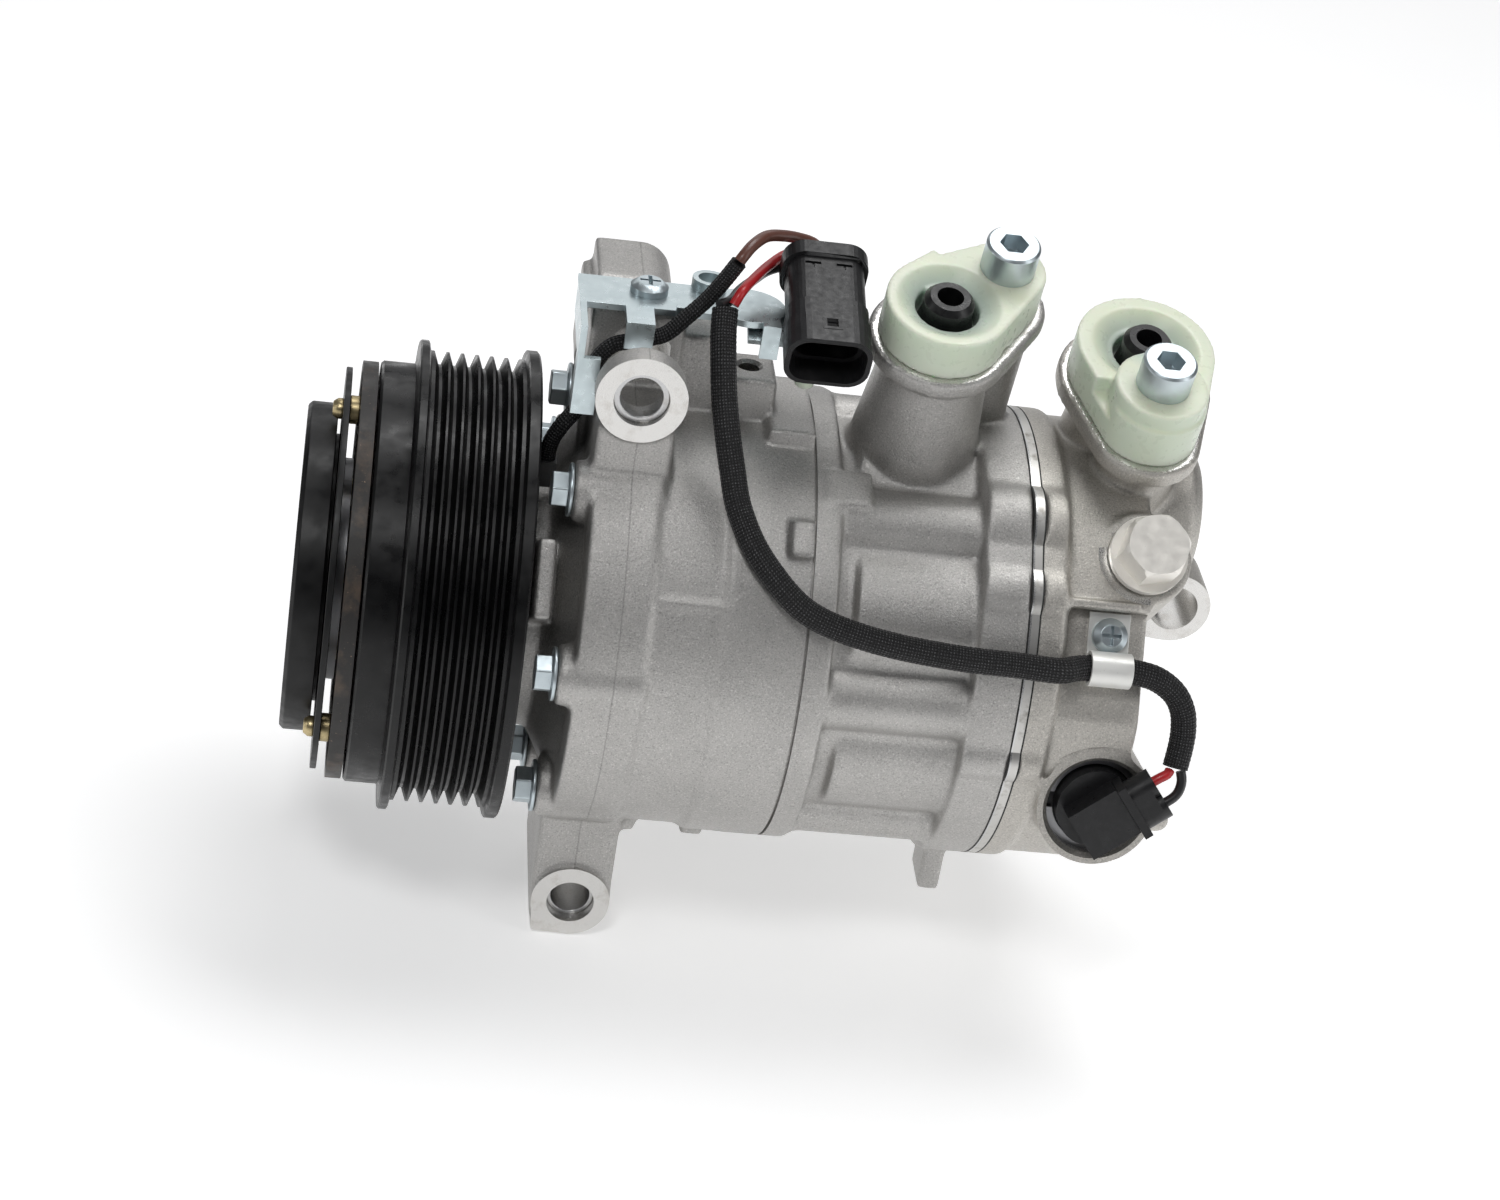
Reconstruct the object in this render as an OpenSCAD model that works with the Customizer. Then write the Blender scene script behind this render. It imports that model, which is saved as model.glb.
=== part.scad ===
// Variable-displacement air conditioning compressor with an electromagnetic clutch.
// X runs along the shaft from the clutch to the rear cover, Z is up and -Y is the side
// that the mounting bolts enter from. The origin is on the shaft axis, at the middle
// of the belt track.

/* [Belt pulley] */
// Radius over the ribs
rib_r = 55.0; // [54:0.5:56]
// Number of belt grooves
groove_count = 6; // [5:1:7]
// Distance from groove to groove
groove_pitch = 3.56; // [3.5:0.02:3.6]
// Depth of a groove
groove_depth = 3.2; // [2.6:0.1:3.4]
// Radius of the two belt flanges
flange_r = 57.4; // [57:0.1:58]
// Radius of the smooth drum in front of the grooves
drum_r = 51.4; // [51:0.1:52]

/* [Clutch] */
// Radius of the stamped hub cover
cover_r = 40; // [38:0.5:41]
// Radius of the armature plate
armature_r = 50.9; // [50:0.1:51]
// Air gap that the armature closes when the clutch engages
air_gap = 0.6; // [0.55:0.01:0.7]
// Radius of the pitch circle of the outer rivets
outer_rivet_r = 43.6; // [43.4:0.1:45]
// Radius of the pitch circle of the inner rivets
inner_rivet_r = 22; // [20:0.5:24]

/* [Housings] */
// Outer radius of the front housing at the seam
body_r = 56; // [55.5:0.1:57]
// Front face of the front housing, under the bolt heads
front_face_x = 23; // [22.8:0.1:24]
// Seam between the front housing and the cylinder block
front_seam_x = 79.5; // [79:0.1:80]
// Rear face of the cylinder block
block_end_x = 131; // [130.5:0.1:131.5]
// End wall of the rear housing
rear_wall_x = 161; // [159:0.5:163]
// Number of through bolts and of cylinders
bolt_count = 7; // [7:1:7]
// Radius of the bolt circle
bolt_circle_r = 49.5; // [49:0.1:50]
// Angle of the first bolt above the -Y direction
bolt_angle = 6.6; // [0:0.2:12]

/* [Mounting lugs] */
// Place of the upper lug axis along the shaft
upper_lug_x = 35.7; // [35:0.1:37]
// Height of the upper lug axis
upper_lug_z = 68.7; // [68:0.1:69.5]
// Place of the lower lug axis along the shaft
lower_lug_x = 36.2; // [35:0.1:37]
// Height of the lower lug axis
lower_lug_z = -72.1; // [-74:0.1:-71]
// Place of the rear lug axis along the shaft
rear_lug_x = 176.3; // [175:0.1:178]
// Height of the rear lug axis
rear_lug_z = 15.3; // [15:0.1:17]
// Front face of both front lugs
lug_face_y = -30; // [-31:0.5:-29.5]

/* [Pumping parts] */
// Radius of the circle that the cylinders stand on
cylinder_circle_r = 31; // [30.5:0.1:31.5]
// Bore radius of a cylinder
cylinder_r = 11; // [10.8:0.1:11.2]
// Radius of the main shaft
shaft_r = 8; // [7.8:0.1:8.2]
// Outer radius of the swash plate
swash_r = 38.5; // [37:0.5:38.5]

/* [Ports] */
// Angle of both port axes above the -Y direction
port_angle = 72; // [70:0.5:74]
// Height of the suction port face above the shaft axis
suction_face_d = 84; // [82:0.5:86]
// Height of the discharge port face above the shaft axis
discharge_face_d = 66; // [65:0.5:68]

/* [Control valve] */
// Angle of the control valve axis above the -Y direction
valve_angle = 12; // [10:0.5:14]
// Radius of the valve bore at its mouth
valve_mouth_r = 11.8; // [11.6:0.1:12]

/* [Hidden] */
$fn = 64;

// Colours
cast_grey = [0.72, 0.71, 0.69];
steel_grey = [0.62, 0.65, 0.68];
zinc_blue = [0.66, 0.73, 0.76];
paint_black = [0.09, 0.09, 0.10];
rubber_black = [0.06, 0.06, 0.06];
nylon_green = [0.77, 0.84, 0.74];
brass_gold = [0.72, 0.60, 0.34];

// Clutch stations along the shaft
cover_front_x = -39.4;
cover_back_x = -32.1;
spring_x = -31.1;
spring_t = 1.5;
armature_x = -27.3;
rotor_face_x = armature_x + 3.8 + air_gap;
armature_back_x = rotor_face_x - air_gap;
drum_end_x = -14.8;
left_flange_x = -14.1;
band_half = 11.7;
rotor_end_x = 14.8;
nose_r = 17.5;
bearing_r = 27.5;
bearing_x0 = -19;
bearing_x1 = 1;
ball_r = 2.8;
ball_circle_r = (nose_r + bearing_r) / 2;
ball_count = 15;
rotor_hub_r = 30;
rotor_bore_r = 47.2;
coil_in_r = 30.8;
coil_out_r = 46.2;
coil_x0 = -18;
coil_x1 = 12;
coil_plate_x = 14;

// Belt grooves: half the width at the root and at the top, and the place of groove i
groove_root = 0.35;
groove_top = groove_depth * tan(20) + groove_root;
function groove_x(i) = (i - (groove_count - 1) / 2) * groove_pitch;

// How far the cast webs lie behind the machined lug faces
web_inset = 1.5;

// Lobes of the rear seam: angle, reach from the shaft axis and radius
seam_lobes = [[60, 59, 11], [40, 57.8, 8], [-5, 57.4, 7]];

// Bolts
bolt_step = 360 / bolt_count;
bolt_r = 3;
bolt_hole_r = 3.3;
bolt_head_af = 8;

// Plates between the block and the rear housing
gasket_t = 0.4;
reed_t = 0.4;
plate_x = block_end_x + gasket_t + reed_t;
plate_t = 1.8;
rear_gasket_x = plate_x + plate_t;
rear_x = rear_gasket_x + gasket_t;

// Swash plate, at rest square to the shaft, and the oil film under its shoes
swash_x0 = 64;
swash_x1 = 71;
shoe_r = 9;
shoe_film = 0.03;
piston_top_x = 130.4;

// Ports, in the tilted frame of port_angle
suction_x = 104.5;
suction_v = 15;
suction_screw_x = 119;
suction_screw_v = 28;
discharge_x = 157;
discharge_v = 26;
discharge_screw_x = 158;
discharge_screw_v = 8.5;
port_plate_t = 5;
cap_h = 11;

// Relief plug, clip pad and control valve
relief_angle = 45;
relief_x = 159;
relief_v = 6.5;
relief_seat_d = 54;
pad_angle = 32;
pad_d = 50.5;
pad_x = 151.5;
clip_sleeve_v = -8.8;
valve_x = 154.5;
valve_v = -25;
valve_face_d = 53;

// Bracket and connector
bracket_z = 79.8;
bracket_t = 1.6;
bracket_screw_x = 37;
bracket_screw_y = 2;
connector_x = 77.3;
connector_y = -10;
connector_z = 86;
connector_dip = 18;
connector_l = 33;

// Cord routes: round points that each cord passes through
sleeve_route = [
    [53.5, -13, 85.8], [53.5, -16.5, 81.6], [54, -21, 76], [55, -25, 69], [56.5, -29, 62],
    [58.5, -32.5, 54.5], [60.5, -37, 48], [64.5, -43, 41.5], [70, -48, 36],
    [76.5, -51.5, 31], [84, -53.5, 28], [94, -55, 26], [105, -55.5, 24.5],
    [117, -55.8, 23.6], [128, -55.6, 23.2], [138, -56.1, 23], [142.5, -53.2, 22.2],
    [146.2, -51.05, 21.5], [152, -51.05, 21.5], [157, -51.05, 21.5], [163, -51.1, 20.3],
    [168, -51.6, 17.2], [170.8, -52.4, 13], [171.8, -53.5, 8.5], [171.7, -55, 4.5],
    [171, -57, 0]
];
sleeve_r = 3.1;
coil_sleeve_route = [
    [55.4, -9, 96], [52.6, -8.4, 90.5], [49.4, -8.6, 85.6], [45.4, -9.8, 81.4],
    [41.2, -11, 77.3], [37.4, -11.5, 75.8], [33.9, -11.5, 74.6], [29.6, -11.5, 73.4],
    [26.6, -11.7, 70.4], [25, -12.2, 66.5], [24.3, -13, 62], [22.8, -13.8, 57.4],
    [20, -14, 53], [18, -13.4, 48.5], [17.4, -12.8, 45.3], [17.3, -12.6, 42.6]
];
coil_sleeve_r = 2;
brown_route = [
    [55.65, -9.05, 96.5], [56.4, -8.5, 97.6], [58.6, -5.6, 99.3], [62, -1, 99.8],
    [66.5, 4.5, 98], [71, 9.5, 95.6], [75, 11, 94], [77.3, 8.6, 92.6], [77.3, 5.9, 91.7]
];
red_route = [
    [55.4, -12.4, 86.8], [57.2, -10.2, 89.6], [60.8, -2.7, 90.1], [64.5, 5.2, 89.8],
    [68.6, 10, 90.8], [72, 8.8, 92], [72.3, 5.9, 91.7]
];
black_route = [
    [52.1, -12.4, 86.5], [55, -9.4, 86.6], [57.2, -4.5, 87], [60.5, 1, 87.2],
    [65.5, 7.8, 87.6], [74, 11.4, 89], [80.5, 10.6, 91.6], [82.3, 8.6, 92.2],
    [82.3, 5.9, 91.7]
];
valve_red_route = [
    [169.6, -57.8, -0.5], [169, -58.6, -1.1], [167.2, -59.1, -2.1], [164.5, -59.5, -4.1]
];
valve_black_route = [
    [172.4, -57.5, -0.6], [172.9, -58.4, -2.6], [172.6, -59.3, -4.8],
    [171.4, -60, -6.6], [168.6, -60.5, -8.8]
];
wire_r = 1.2;

// ---------- helpers ----------

// Cylinder along X from x0 to x1
module bar(x0, x1, r, r2 = -1)
    translate([x0, 0, 0]) rotate([0, 90, 0])
        cylinder(h = x1 - x0, r1 = r, r2 = r2 < 0 ? r : r2);

// Tube along X from x0 to x1
module tube(x0, x1, r_out, r_in)
    difference() {
        bar(x0, x1, r_out);
        bar(x0 - 1, x1 + 1, r_in);
    }

// Solid turned about X from [x, radius] points
module turned(profile)
    rotate([0, 90, 0]) rotate_extrude($fn = 96)
        polygon([for (p = profile) [p[1], p[0]]]);

// Children moved to the circle of radius r, at an angle above the -Y direction
module at_polar(angle, r)
    translate([0, -r * cos(angle), r * sin(angle)]) children();

// One copy of the children for each of n places round the shaft, starting at an angle
module round_shaft(n, start)
    for (i = [0:n - 1]) rotate([-(start + i * 360 / n), 0, 0]) children();

// Frame whose +Z is the direction at this angle above -Y, with +X kept
module facing(angle, x = 0, v = 0, d = 0)
    rotate([90 - angle, 0, 0]) translate([x, v, d]) children();

// Cylinder along Y from y0 to y1
module ybar(x, z, y0, y1, r)
    translate([x, y0, z]) rotate([-90, 0, 0]) cylinder(h = y1 - y0, r = r);

// Box from its lowest to its highest corner
module block(lo, hi)
    translate(lo) cube(hi - lo);

// Hexagonal prism with the given width across its flats
module hexagon(af, h)
    cylinder(h = h, r = af / 2 / cos(30), $fn = 6);

// Outline round two circles
module two_lobes(x1, v1, r1, x2, v2, r2)
    hull() {
        translate([x1, v1]) circle(r = r1, $fn = 48);
        translate([x2, v2]) circle(r = r2, $fn = 48);
    }

function unit(a) = a / norm(a);
function ring_at(p, side, up, r, n) =
    [for (i = [0:n - 1]) p + r * (cos(360 * i / n) * side + sin(360 * i / n) * up)];
function tangent(path, i) =
    unit(path[min(i + 1, len(path) - 1)] - path[max(i - 1, 0)]);
// Sideways direction of each ring, carried along the path so that the tube never twists
function carried(path, i, side) =
    i >= len(path) ? [] : let (t = tangent(path, i), next = unit(side - (side * t) * t))
        concat([next], carried(path, i + 1, next));

// Closed round tube along a list of points
module cord(path, r, n) {
    sideways = carried(path, 0, cross(tangent(path, 0), [0.2, 0.1, 1]));
    rings = [for (i = [0:len(path) - 1])
        ring_at(path[i], sideways[i], cross(sideways[i], tangent(path, i)), r, n)];
    points = [for (ring = rings) each ring];
    m = len(path);
    sides = [for (j = [0:m - 2], i = [0:n - 1]) let (k = (i + 1) % n)
        [j * n + i, j * n + k, (j + 1) * n + k, (j + 1) * n + i]];
    front = [[for (i = [n - 1:-1:0]) i]];
    back = [[for (i = [0:n - 1]) (m - 1) * n + i]];
    polyhedron(points, concat(front, sides, back), convexity = 8);
}

// ---------- housings ----------

// Seven bolt holes of radius r
module bolt_holes(x0, x1, r)
    round_shaft(bolt_count, bolt_angle) translate([0, -bolt_circle_r, 0]) bar(x0, x1, r);

module upper_lug() {
    ybar(upper_lug_x, upper_lug_z, lug_face_y, lug_face_y + 7, 10.75);
    // Webs that carry the two ears, and the pillar under the harness bracket
    block([27, lug_face_y + web_inset, 40], [44.4, lug_face_y + 7, 68]);
    block([26.5, lug_face_y + 2, 40], [45, 9, 60]);
    block([25.3, 10, 30], [36.6, 32, 80.9]);
    block([36, 10, 30], [44.4, 32, 73.2]);
    ybar(36.6, 73.1, 10, 32, 7.8);
    block([22.6, 13, 55], [27, 29, 76]);
    block([24, -5.5, 40], [46, 10, bracket_z]);
    block([46, -4, 40], [56, 9, 74]);
}

module upper_lug_bores() {
    ybar(upper_lug_x, upper_lug_z, lug_face_y - 1, -12, 6.5);
    ybar(upper_lug_x, upper_lug_z, -12, 40, 5.2);
}

module lower_lug() {
    ybar(lower_lug_x, lower_lug_z, lug_face_y, 12, 9.9);
    block([26.3, lug_face_y + web_inset, lower_lug_z - 6], [35, 12, -40]);
    block([28, lug_face_y + web_inset, lower_lug_z], [46.1, 12, -40]);
    block([27, lug_face_y, lower_lug_z - 9.6], [lower_lug_x, 12, lower_lug_z]);
    block([26.3, -26, -52], [50, 16, -36]);
}

module lower_lug_bores() {
    ybar(lower_lug_x, lower_lug_z, lug_face_y - 1, -10, 5.9);
    ybar(lower_lug_x, lower_lug_z, -10, 13, 5.2);
}

module front_housing() color(cast_grey) difference() {
    union() {
        bar(-22, bearing_x1, nose_r);
        bar(bearing_x1, coil_plate_x, 20);
        bar(coil_plate_x, 20, 34);
        bar(20, 30, 34, 52);
        bar(27, 43, body_r);
        bar(43, 74, body_r - 1.3);
        bar(73, front_seam_x, body_r);
        // Pads under the bolt heads, and the bosses they grow from
        round_shaft(bolt_count, bolt_angle) translate([0, -bolt_circle_r, 0])
            bar(front_face_x, 44, 7.2);
        // Step between two bolt heads, behind the pulley
        facing(bolt_angle + bolt_step / 2, 15.8, -9.5, 30) cube([4.8, 19, 20]);
        // Parting ridge along the near side
        facing(29) translate([43, -0.6, 50]) cube([31, 1.2, 5.3]);
        upper_lug();
        lower_lug();
        // Pillar with a threaded hole, and the step behind it
        block([58, -8, 40], [69.5, 7, 66]);
        block([68, -16, 44], [front_seam_x, 14, 57.5]);
        // Block at the seam, and two feet underneath
        facing(47, 73.5, -4.5, 50) cube([6, 9, 8]);
        block([62, -18, -57.5], [68, -8, -50]);
        block([70, -16, -57.5], [front_seam_x, -10, -50]);
    }
    // Shaft bore, seal pocket and front bearing seat
    bar(-23, 6, 8.8);
    bar(5, 16, 13);
    bar(15, 35, 12);
    // Swash chamber
    bar(34, front_seam_x + 1, 43);
    // Snap ring grooves
    tube(-20.6, -19.2, 20, 16.3);
    tube(10.4, 11.9, 22, 18.8);
    // Seam groove for the body seal
    tube(front_seam_x - 1.3, front_seam_x + 1, 45.5, 43);
    bolt_holes(20, 90, bolt_hole_r);
    upper_lug_bores();
    lower_lug_bores();
    // Threaded holes for a hose bracket and for the harness bracket
    translate([63, 0, 54]) cylinder(h = 13, r = 2.5);
    translate([bracket_screw_x, bracket_screw_y, 75]) cylinder(h = 6, r = 2.5);
}

// The seam's lobes, carried along the shaft
module seam_bosses(x0, x1)
    for (lobe = seam_lobes) at_polar(lobe[0], lobe[1] - lobe[2]) bar(x0, x1, lobe[2]);

module cylinder_block() color(cast_grey) difference() {
    union() {
        bar(front_seam_x, block_end_x, 50.5);
        bar(front_seam_x, 86, body_r);
        bar(120, block_end_x, body_r);
        // Bulges over the bolts and the cylinders
        round_shaft(bolt_count, bolt_angle) translate([0, -bolt_circle_r + 2.5, 0])
            bar(84, 121, 8);
        round_shaft(bolt_count, bolt_angle + bolt_step / 2) translate([0, -33.5, 0])
            bar(91, 120.6, 20);
        // Bosses at the rear flange and at the front band
        seam_bosses(120, block_end_x);
        facing(62, 82, -5, 48) cube([11, 10, 8.6]);
        // Suction tower with its screw boss and port flange
        facing(port_angle) {
            translate([suction_x, suction_v - 2, 30]) cylinder(h = 50, r1 = 17.5, r2 = 12.6);
            translate([suction_x, suction_v, 60]) cylinder(h = 24, r = 13);
            translate([suction_screw_x, suction_screw_v, 50]) cylinder(h = 30, r = 9.5);
            translate([suction_x, suction_v - 4, 40]) rotate([0, 0, 41.8])
                cube([20, 8, suction_face_d - 42]);
            translate([0, 0, suction_face_d - port_plate_t]) linear_extrude(port_plate_t)
                two_lobes(suction_x, suction_v, 17, suction_screw_x, suction_screw_v, 12);
        }
        // Foot underneath
        block([123.5, -24, -64], [129, -11, -45]);
    }
    bar(front_seam_x - 1, 92, 43);
    bar(85, 131.5, 12);
    round_shaft(bolt_count, bolt_angle + bolt_step / 2)
        translate([0, -cylinder_circle_r, 0]) bar(91, block_end_x + 1, cylinder_r);
    bolt_holes(front_seam_x - 1, block_end_x + 1, bolt_hole_r);
    // Suction port, its gallery to the rear chamber and the screw hole
    facing(port_angle) {
        translate([suction_x, suction_v, 50]) cylinder(h = 40, r = 8.5);
        translate([suction_screw_x, suction_screw_v, suction_face_d - 22])
            cylinder(h = 30, r = 4);
    }
    facing(84, suction_x, 0, bolt_circle_r - 1) rotate([0, 90, 0]) cylinder(h = 30, r = 3.2);
}

module rear_housing() color(cast_grey) difference() {
    union() {
        bar(rear_x, 140, body_r);
        bar(139, rear_wall_x, 54.6);
        // Chamber that ends in a domed cover
        translate([0, 2, 36]) bar(150, 174, 18);
        translate([0, 2, 36]) bar(174, 177, 18, 15);
        // Discharge tower with its screw boss and port flange
        facing(port_angle) {
            translate([discharge_x, discharge_v - 3, 25]) cylinder(h = 37, r1 = 17, r2 = 14);
            translate([discharge_screw_x, discharge_screw_v, 40]) cylinder(h = 22, r = 10);
            translate([0, 0, discharge_face_d - port_plate_t]) linear_extrude(port_plate_t)
                two_lobes(discharge_x, discharge_v, 19, discharge_screw_x,
                    discharge_screw_v - 1, 13.5);
        }
        // Seat of the relief plug
        facing(relief_angle, relief_x, relief_v, 20) cylinder(h = 34, r = 11.4);
        // Rear lug and its arm
        ybar(rear_lug_x, rear_lug_z, -8, 7, 9.35);
        block([158, -8, rear_lug_z - 9.35], [rear_lug_x, 7, rear_lug_z + 9]);
        // Control valve boss and the sealed casting stub beside it
        facing(valve_angle, valve_x, valve_v, -30) cylinder(h = 30 + valve_face_d, r = 14.4);
        translate([0, -49, -20.4]) bar(160, 172.4, 2.9);
        translate([172.4, -49, -20.4]) sphere(r = 2.9);
        // Ribs and the bosses that close the outline of the seam
        facing(38, rear_x, -1, 48) cube([24, 2.4, 8.4]);
        seam_bosses(rear_x, 140);
    }
    // Flat pad for the harness clip
    facing(pad_angle, 141, -22, pad_d) cube([24, 27, 20]);
    // Discharge and suction chambers
    tube(rear_x - 1, 152, 44, 25);
    bar(rear_x - 1, 150, 20);
    bolt_holes(rear_x - 1, 148, bolt_r + 0.05);
    // Ports, relief plug hole and clip screw hole
    facing(port_angle) {
        translate([discharge_x, discharge_v, 20]) cylinder(h = 60, r = 7.5);
        translate([discharge_screw_x, discharge_screw_v, discharge_face_d - 24])
            cylinder(h = 30, r = 4);
    }
    facing(relief_angle, relief_x, relief_v, 38) cylinder(h = 30, r = 6);
    facing(relief_angle, relief_x, relief_v, relief_seat_d) cylinder(h = 12, r = 11.6);
    facing(pad_angle, pad_x, -0.8, pad_d - 9) cylinder(h = 20, r = 2);
    // Stepped control valve bore
    facing(valve_angle, valve_x, valve_v, valve_face_d - 9) cylinder(h = 20, r = valve_mouth_r);
    facing(valve_angle, valve_x, valve_v, 8) cylinder(h = 40, r = 10);
    facing(valve_angle, valve_x, valve_v, -16) cylinder(h = 30, r = 8);
    facing(valve_angle, valve_x, valve_v, valve_face_d - 5) cylinder(h = 1.4, r = 12.8);
    ybar(rear_lug_x, rear_lug_z, -10, 10, 6);
    // Room for the mounting bolt's head and nut beside the rear lug
    ybar(rear_lug_x, rear_lug_z, -24, -8, 9.5);
    ybar(rear_lug_x, rear_lug_z, 7, 24, 9.5);
}

// Outline shared by the plates and gaskets behind the block
module seam_outline() {
    circle(r = body_r);
    for (lobe = seam_lobes)
        rotate(180 - lobe[0]) translate([lobe[1] - lobe[2], 0]) circle(r = lobe[2]);
}

// Flat plate across the shaft: the outline lies in Y and Z
module cross_plate(x, t)
    translate([x, 0, 0]) rotate([0, 90, 0]) rotate(90) linear_extrude(t) children();

module plate_holes(r) {
    for (i = [0:bolt_count - 1])
        rotate(180 - bolt_angle - i * bolt_step) translate([bolt_circle_r, 0]) circle(r = r);
    rotate(180 - 84) translate([bolt_circle_r - 1, 0]) circle(r = 3.2);
}

module each_cylinder()
    for (i = [0:bolt_count - 1]) rotate(180 - bolt_angle - (i + 0.5) * bolt_step) children();

module front_gasket() color([0.14, 0.14, 0.13]) cross_plate(block_end_x, gasket_t)
    difference() {
        seam_outline();
        plate_holes(bolt_hole_r);
        circle(r = 12);
        each_cylinder() translate([cylinder_circle_r, 0]) circle(r = cylinder_r);
    }

module suction_reeds() color(steel_grey) cross_plate(block_end_x + gasket_t, reed_t)
    difference() {
        seam_outline();
        plate_holes(bolt_hole_r);
        circle(r = 4);
        // A slot round each reed leaves a tongue over its suction hole
        each_cylinder() translate([cylinder_circle_r, 0]) {
            translate([-7.5, 3.2]) square([13.5, 1.4]);
            translate([-7.5, -4.6]) square([13.5, 1.4]);
            translate([4.6, -4.6]) square([1.4, 9.2]);
        }
    }

module valve_plate() color([0.78, 0.77, 0.74]) cross_plate(plate_x, plate_t)
    difference() {
        seam_outline();
        plate_holes(bolt_hole_r);
        circle(r = 4);
        each_cylinder() {
            translate([cylinder_circle_r + 2, 0]) circle(r = 2.2);
            translate([cylinder_circle_r - 4, 0]) circle(r = 2);
        }
    }

module discharge_reeds() color(steel_grey) cross_plate(rear_gasket_x, reed_t)
    difference() {
        circle(r = 43.5);
        circle(r = 24);
        each_cylinder() translate([36, -5]) square([9, 1.4]);
        each_cylinder() translate([36, 3.6]) square([9, 1.4]);
    }

module rear_gasket() color([0.14, 0.14, 0.13]) cross_plate(rear_gasket_x, gasket_t)
    difference() {
        seam_outline();
        plate_holes(bolt_hole_r);
        circle(r = 44.2);
    }

module body_seal() color(rubber_black)
    tube(front_seam_x - 1.2, front_seam_x, 45.3, 43.1);

module through_bolts() color(zinc_blue) round_shaft(bolt_count, bolt_angle)
    translate([0, -bolt_circle_r, 0]) {
        bar(front_face_x - 1, 147, bolt_r);
        bar(front_face_x - 1, front_face_x, 6.35);
        translate([front_face_x - 5, 0, 0]) rotate([0, 90, 0]) hexagon(bolt_head_af, 4.1);
    }

module bushing(x, z, y0, y1, r_out, r_in) difference() {
    ybar(x, z, y0, y1, r_out);
    ybar(x, z, y0 - 1, y1 + 1, r_in);
}

module lug_bushings() color(steel_grey) {
    bushing(upper_lug_x, upper_lug_z, lug_face_y + 1.6, lug_face_y + 7, 6.5, 4.95);
    bushing(lower_lug_x, lower_lug_z, lug_face_y + 3, -10, 5.9, 4.8);
}

// ---------- port caps ----------

module suction_cap() color(nylon_green) facing(port_angle) difference() {
    union() {
        translate([0, 0, suction_face_d]) linear_extrude(cap_h)
            two_lobes(suction_x, suction_v, 14.8, suction_screw_x, suction_screw_v, 9.6);
        translate([suction_x, suction_v, suction_face_d - 8]) cylinder(h = 9, r = 8.4);
    }
    // Funnel and pocket that hold the rubber plug, and the screw hole
    translate([suction_x, suction_v, suction_face_d + 3]) cylinder(h = 9, r = 7.6);
    translate([suction_x, suction_v, suction_face_d + cap_h - 2])
        cylinder(h = 2.1, r1 = 7.6, r2 = 9.4);
    translate([suction_x, suction_v, suction_face_d - 9]) cylinder(h = 13, r = 5);
    translate([suction_screw_x, suction_screw_v, suction_face_d - 1])
        cylinder(h = 14, r = 4.2);
}

module discharge_cap() color(nylon_green) facing(port_angle) difference() {
    union() {
        translate([0, 0, discharge_face_d]) linear_extrude(cap_h)
            two_lobes(discharge_x, discharge_v, 17, discharge_screw_x,
                discharge_screw_v, 12);
        translate([discharge_screw_x, discharge_screw_v, discharge_face_d])
            cylinder(h = cap_h + 4.5, r = 10.6);
        translate([discharge_x, discharge_v, discharge_face_d - 8]) cylinder(h = 9, r = 7.4);
    }
    translate([discharge_x, discharge_v, discharge_face_d + 3]) cylinder(h = 14, r = 7.6);
    translate([discharge_x, discharge_v, discharge_face_d - 9]) cylinder(h = 13, r = 5);
    translate([discharge_screw_x, discharge_screw_v, discharge_face_d - 1])
        cylinder(h = 20, r = 4.2);
}

// Rubber plug with a blind hole, standing on the floor of a cap's pocket
module port_plug(h) difference() {
    union() {
        cylinder(h = h - 1.4, r1 = 7, r2 = 5.2);
        translate([0, 0, h - 4]) cylinder(h = 2.6, r = 6);
        translate([0, 0, h - 1.4]) cylinder(h = 1.4, r1 = 6, r2 = 4.8);
        translate([0, 0, -9]) cylinder(h = 9.1, r = 4.9);
    }
    translate([0, 0, h - 7]) cylinder(h = 8, r = 3.1);
}

module port_plugs() color(rubber_black) facing(port_angle) {
    translate([suction_x, suction_v, suction_face_d + 3]) port_plug(9.2);
    translate([discharge_x, discharge_v, discharge_face_d + 3]) port_plug(10.6);
}

// Socket head screw with its head resting at z = 0
module socket_screw(l) {
    translate([0, 0, -l]) cylinder(h = l, r = 3.9);
    difference() {
        union() {
            cylinder(h = 7.4, r = 6.5);
            translate([0, 0, 7.4]) cylinder(h = 0.6, r1 = 6.5, r2 = 5.9);
        }
        translate([0, 0, 3.6]) hexagon(6, 5);
    }
}

module cap_screws() color(zinc_blue) facing(port_angle) {
    translate([suction_screw_x, suction_screw_v, suction_face_d + cap_h]) socket_screw(32);
    translate([discharge_screw_x, discharge_screw_v, discharge_face_d + cap_h + 4.5])
        socket_screw(38);
}

// ---------- bracket, clip and plugs ----------

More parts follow.
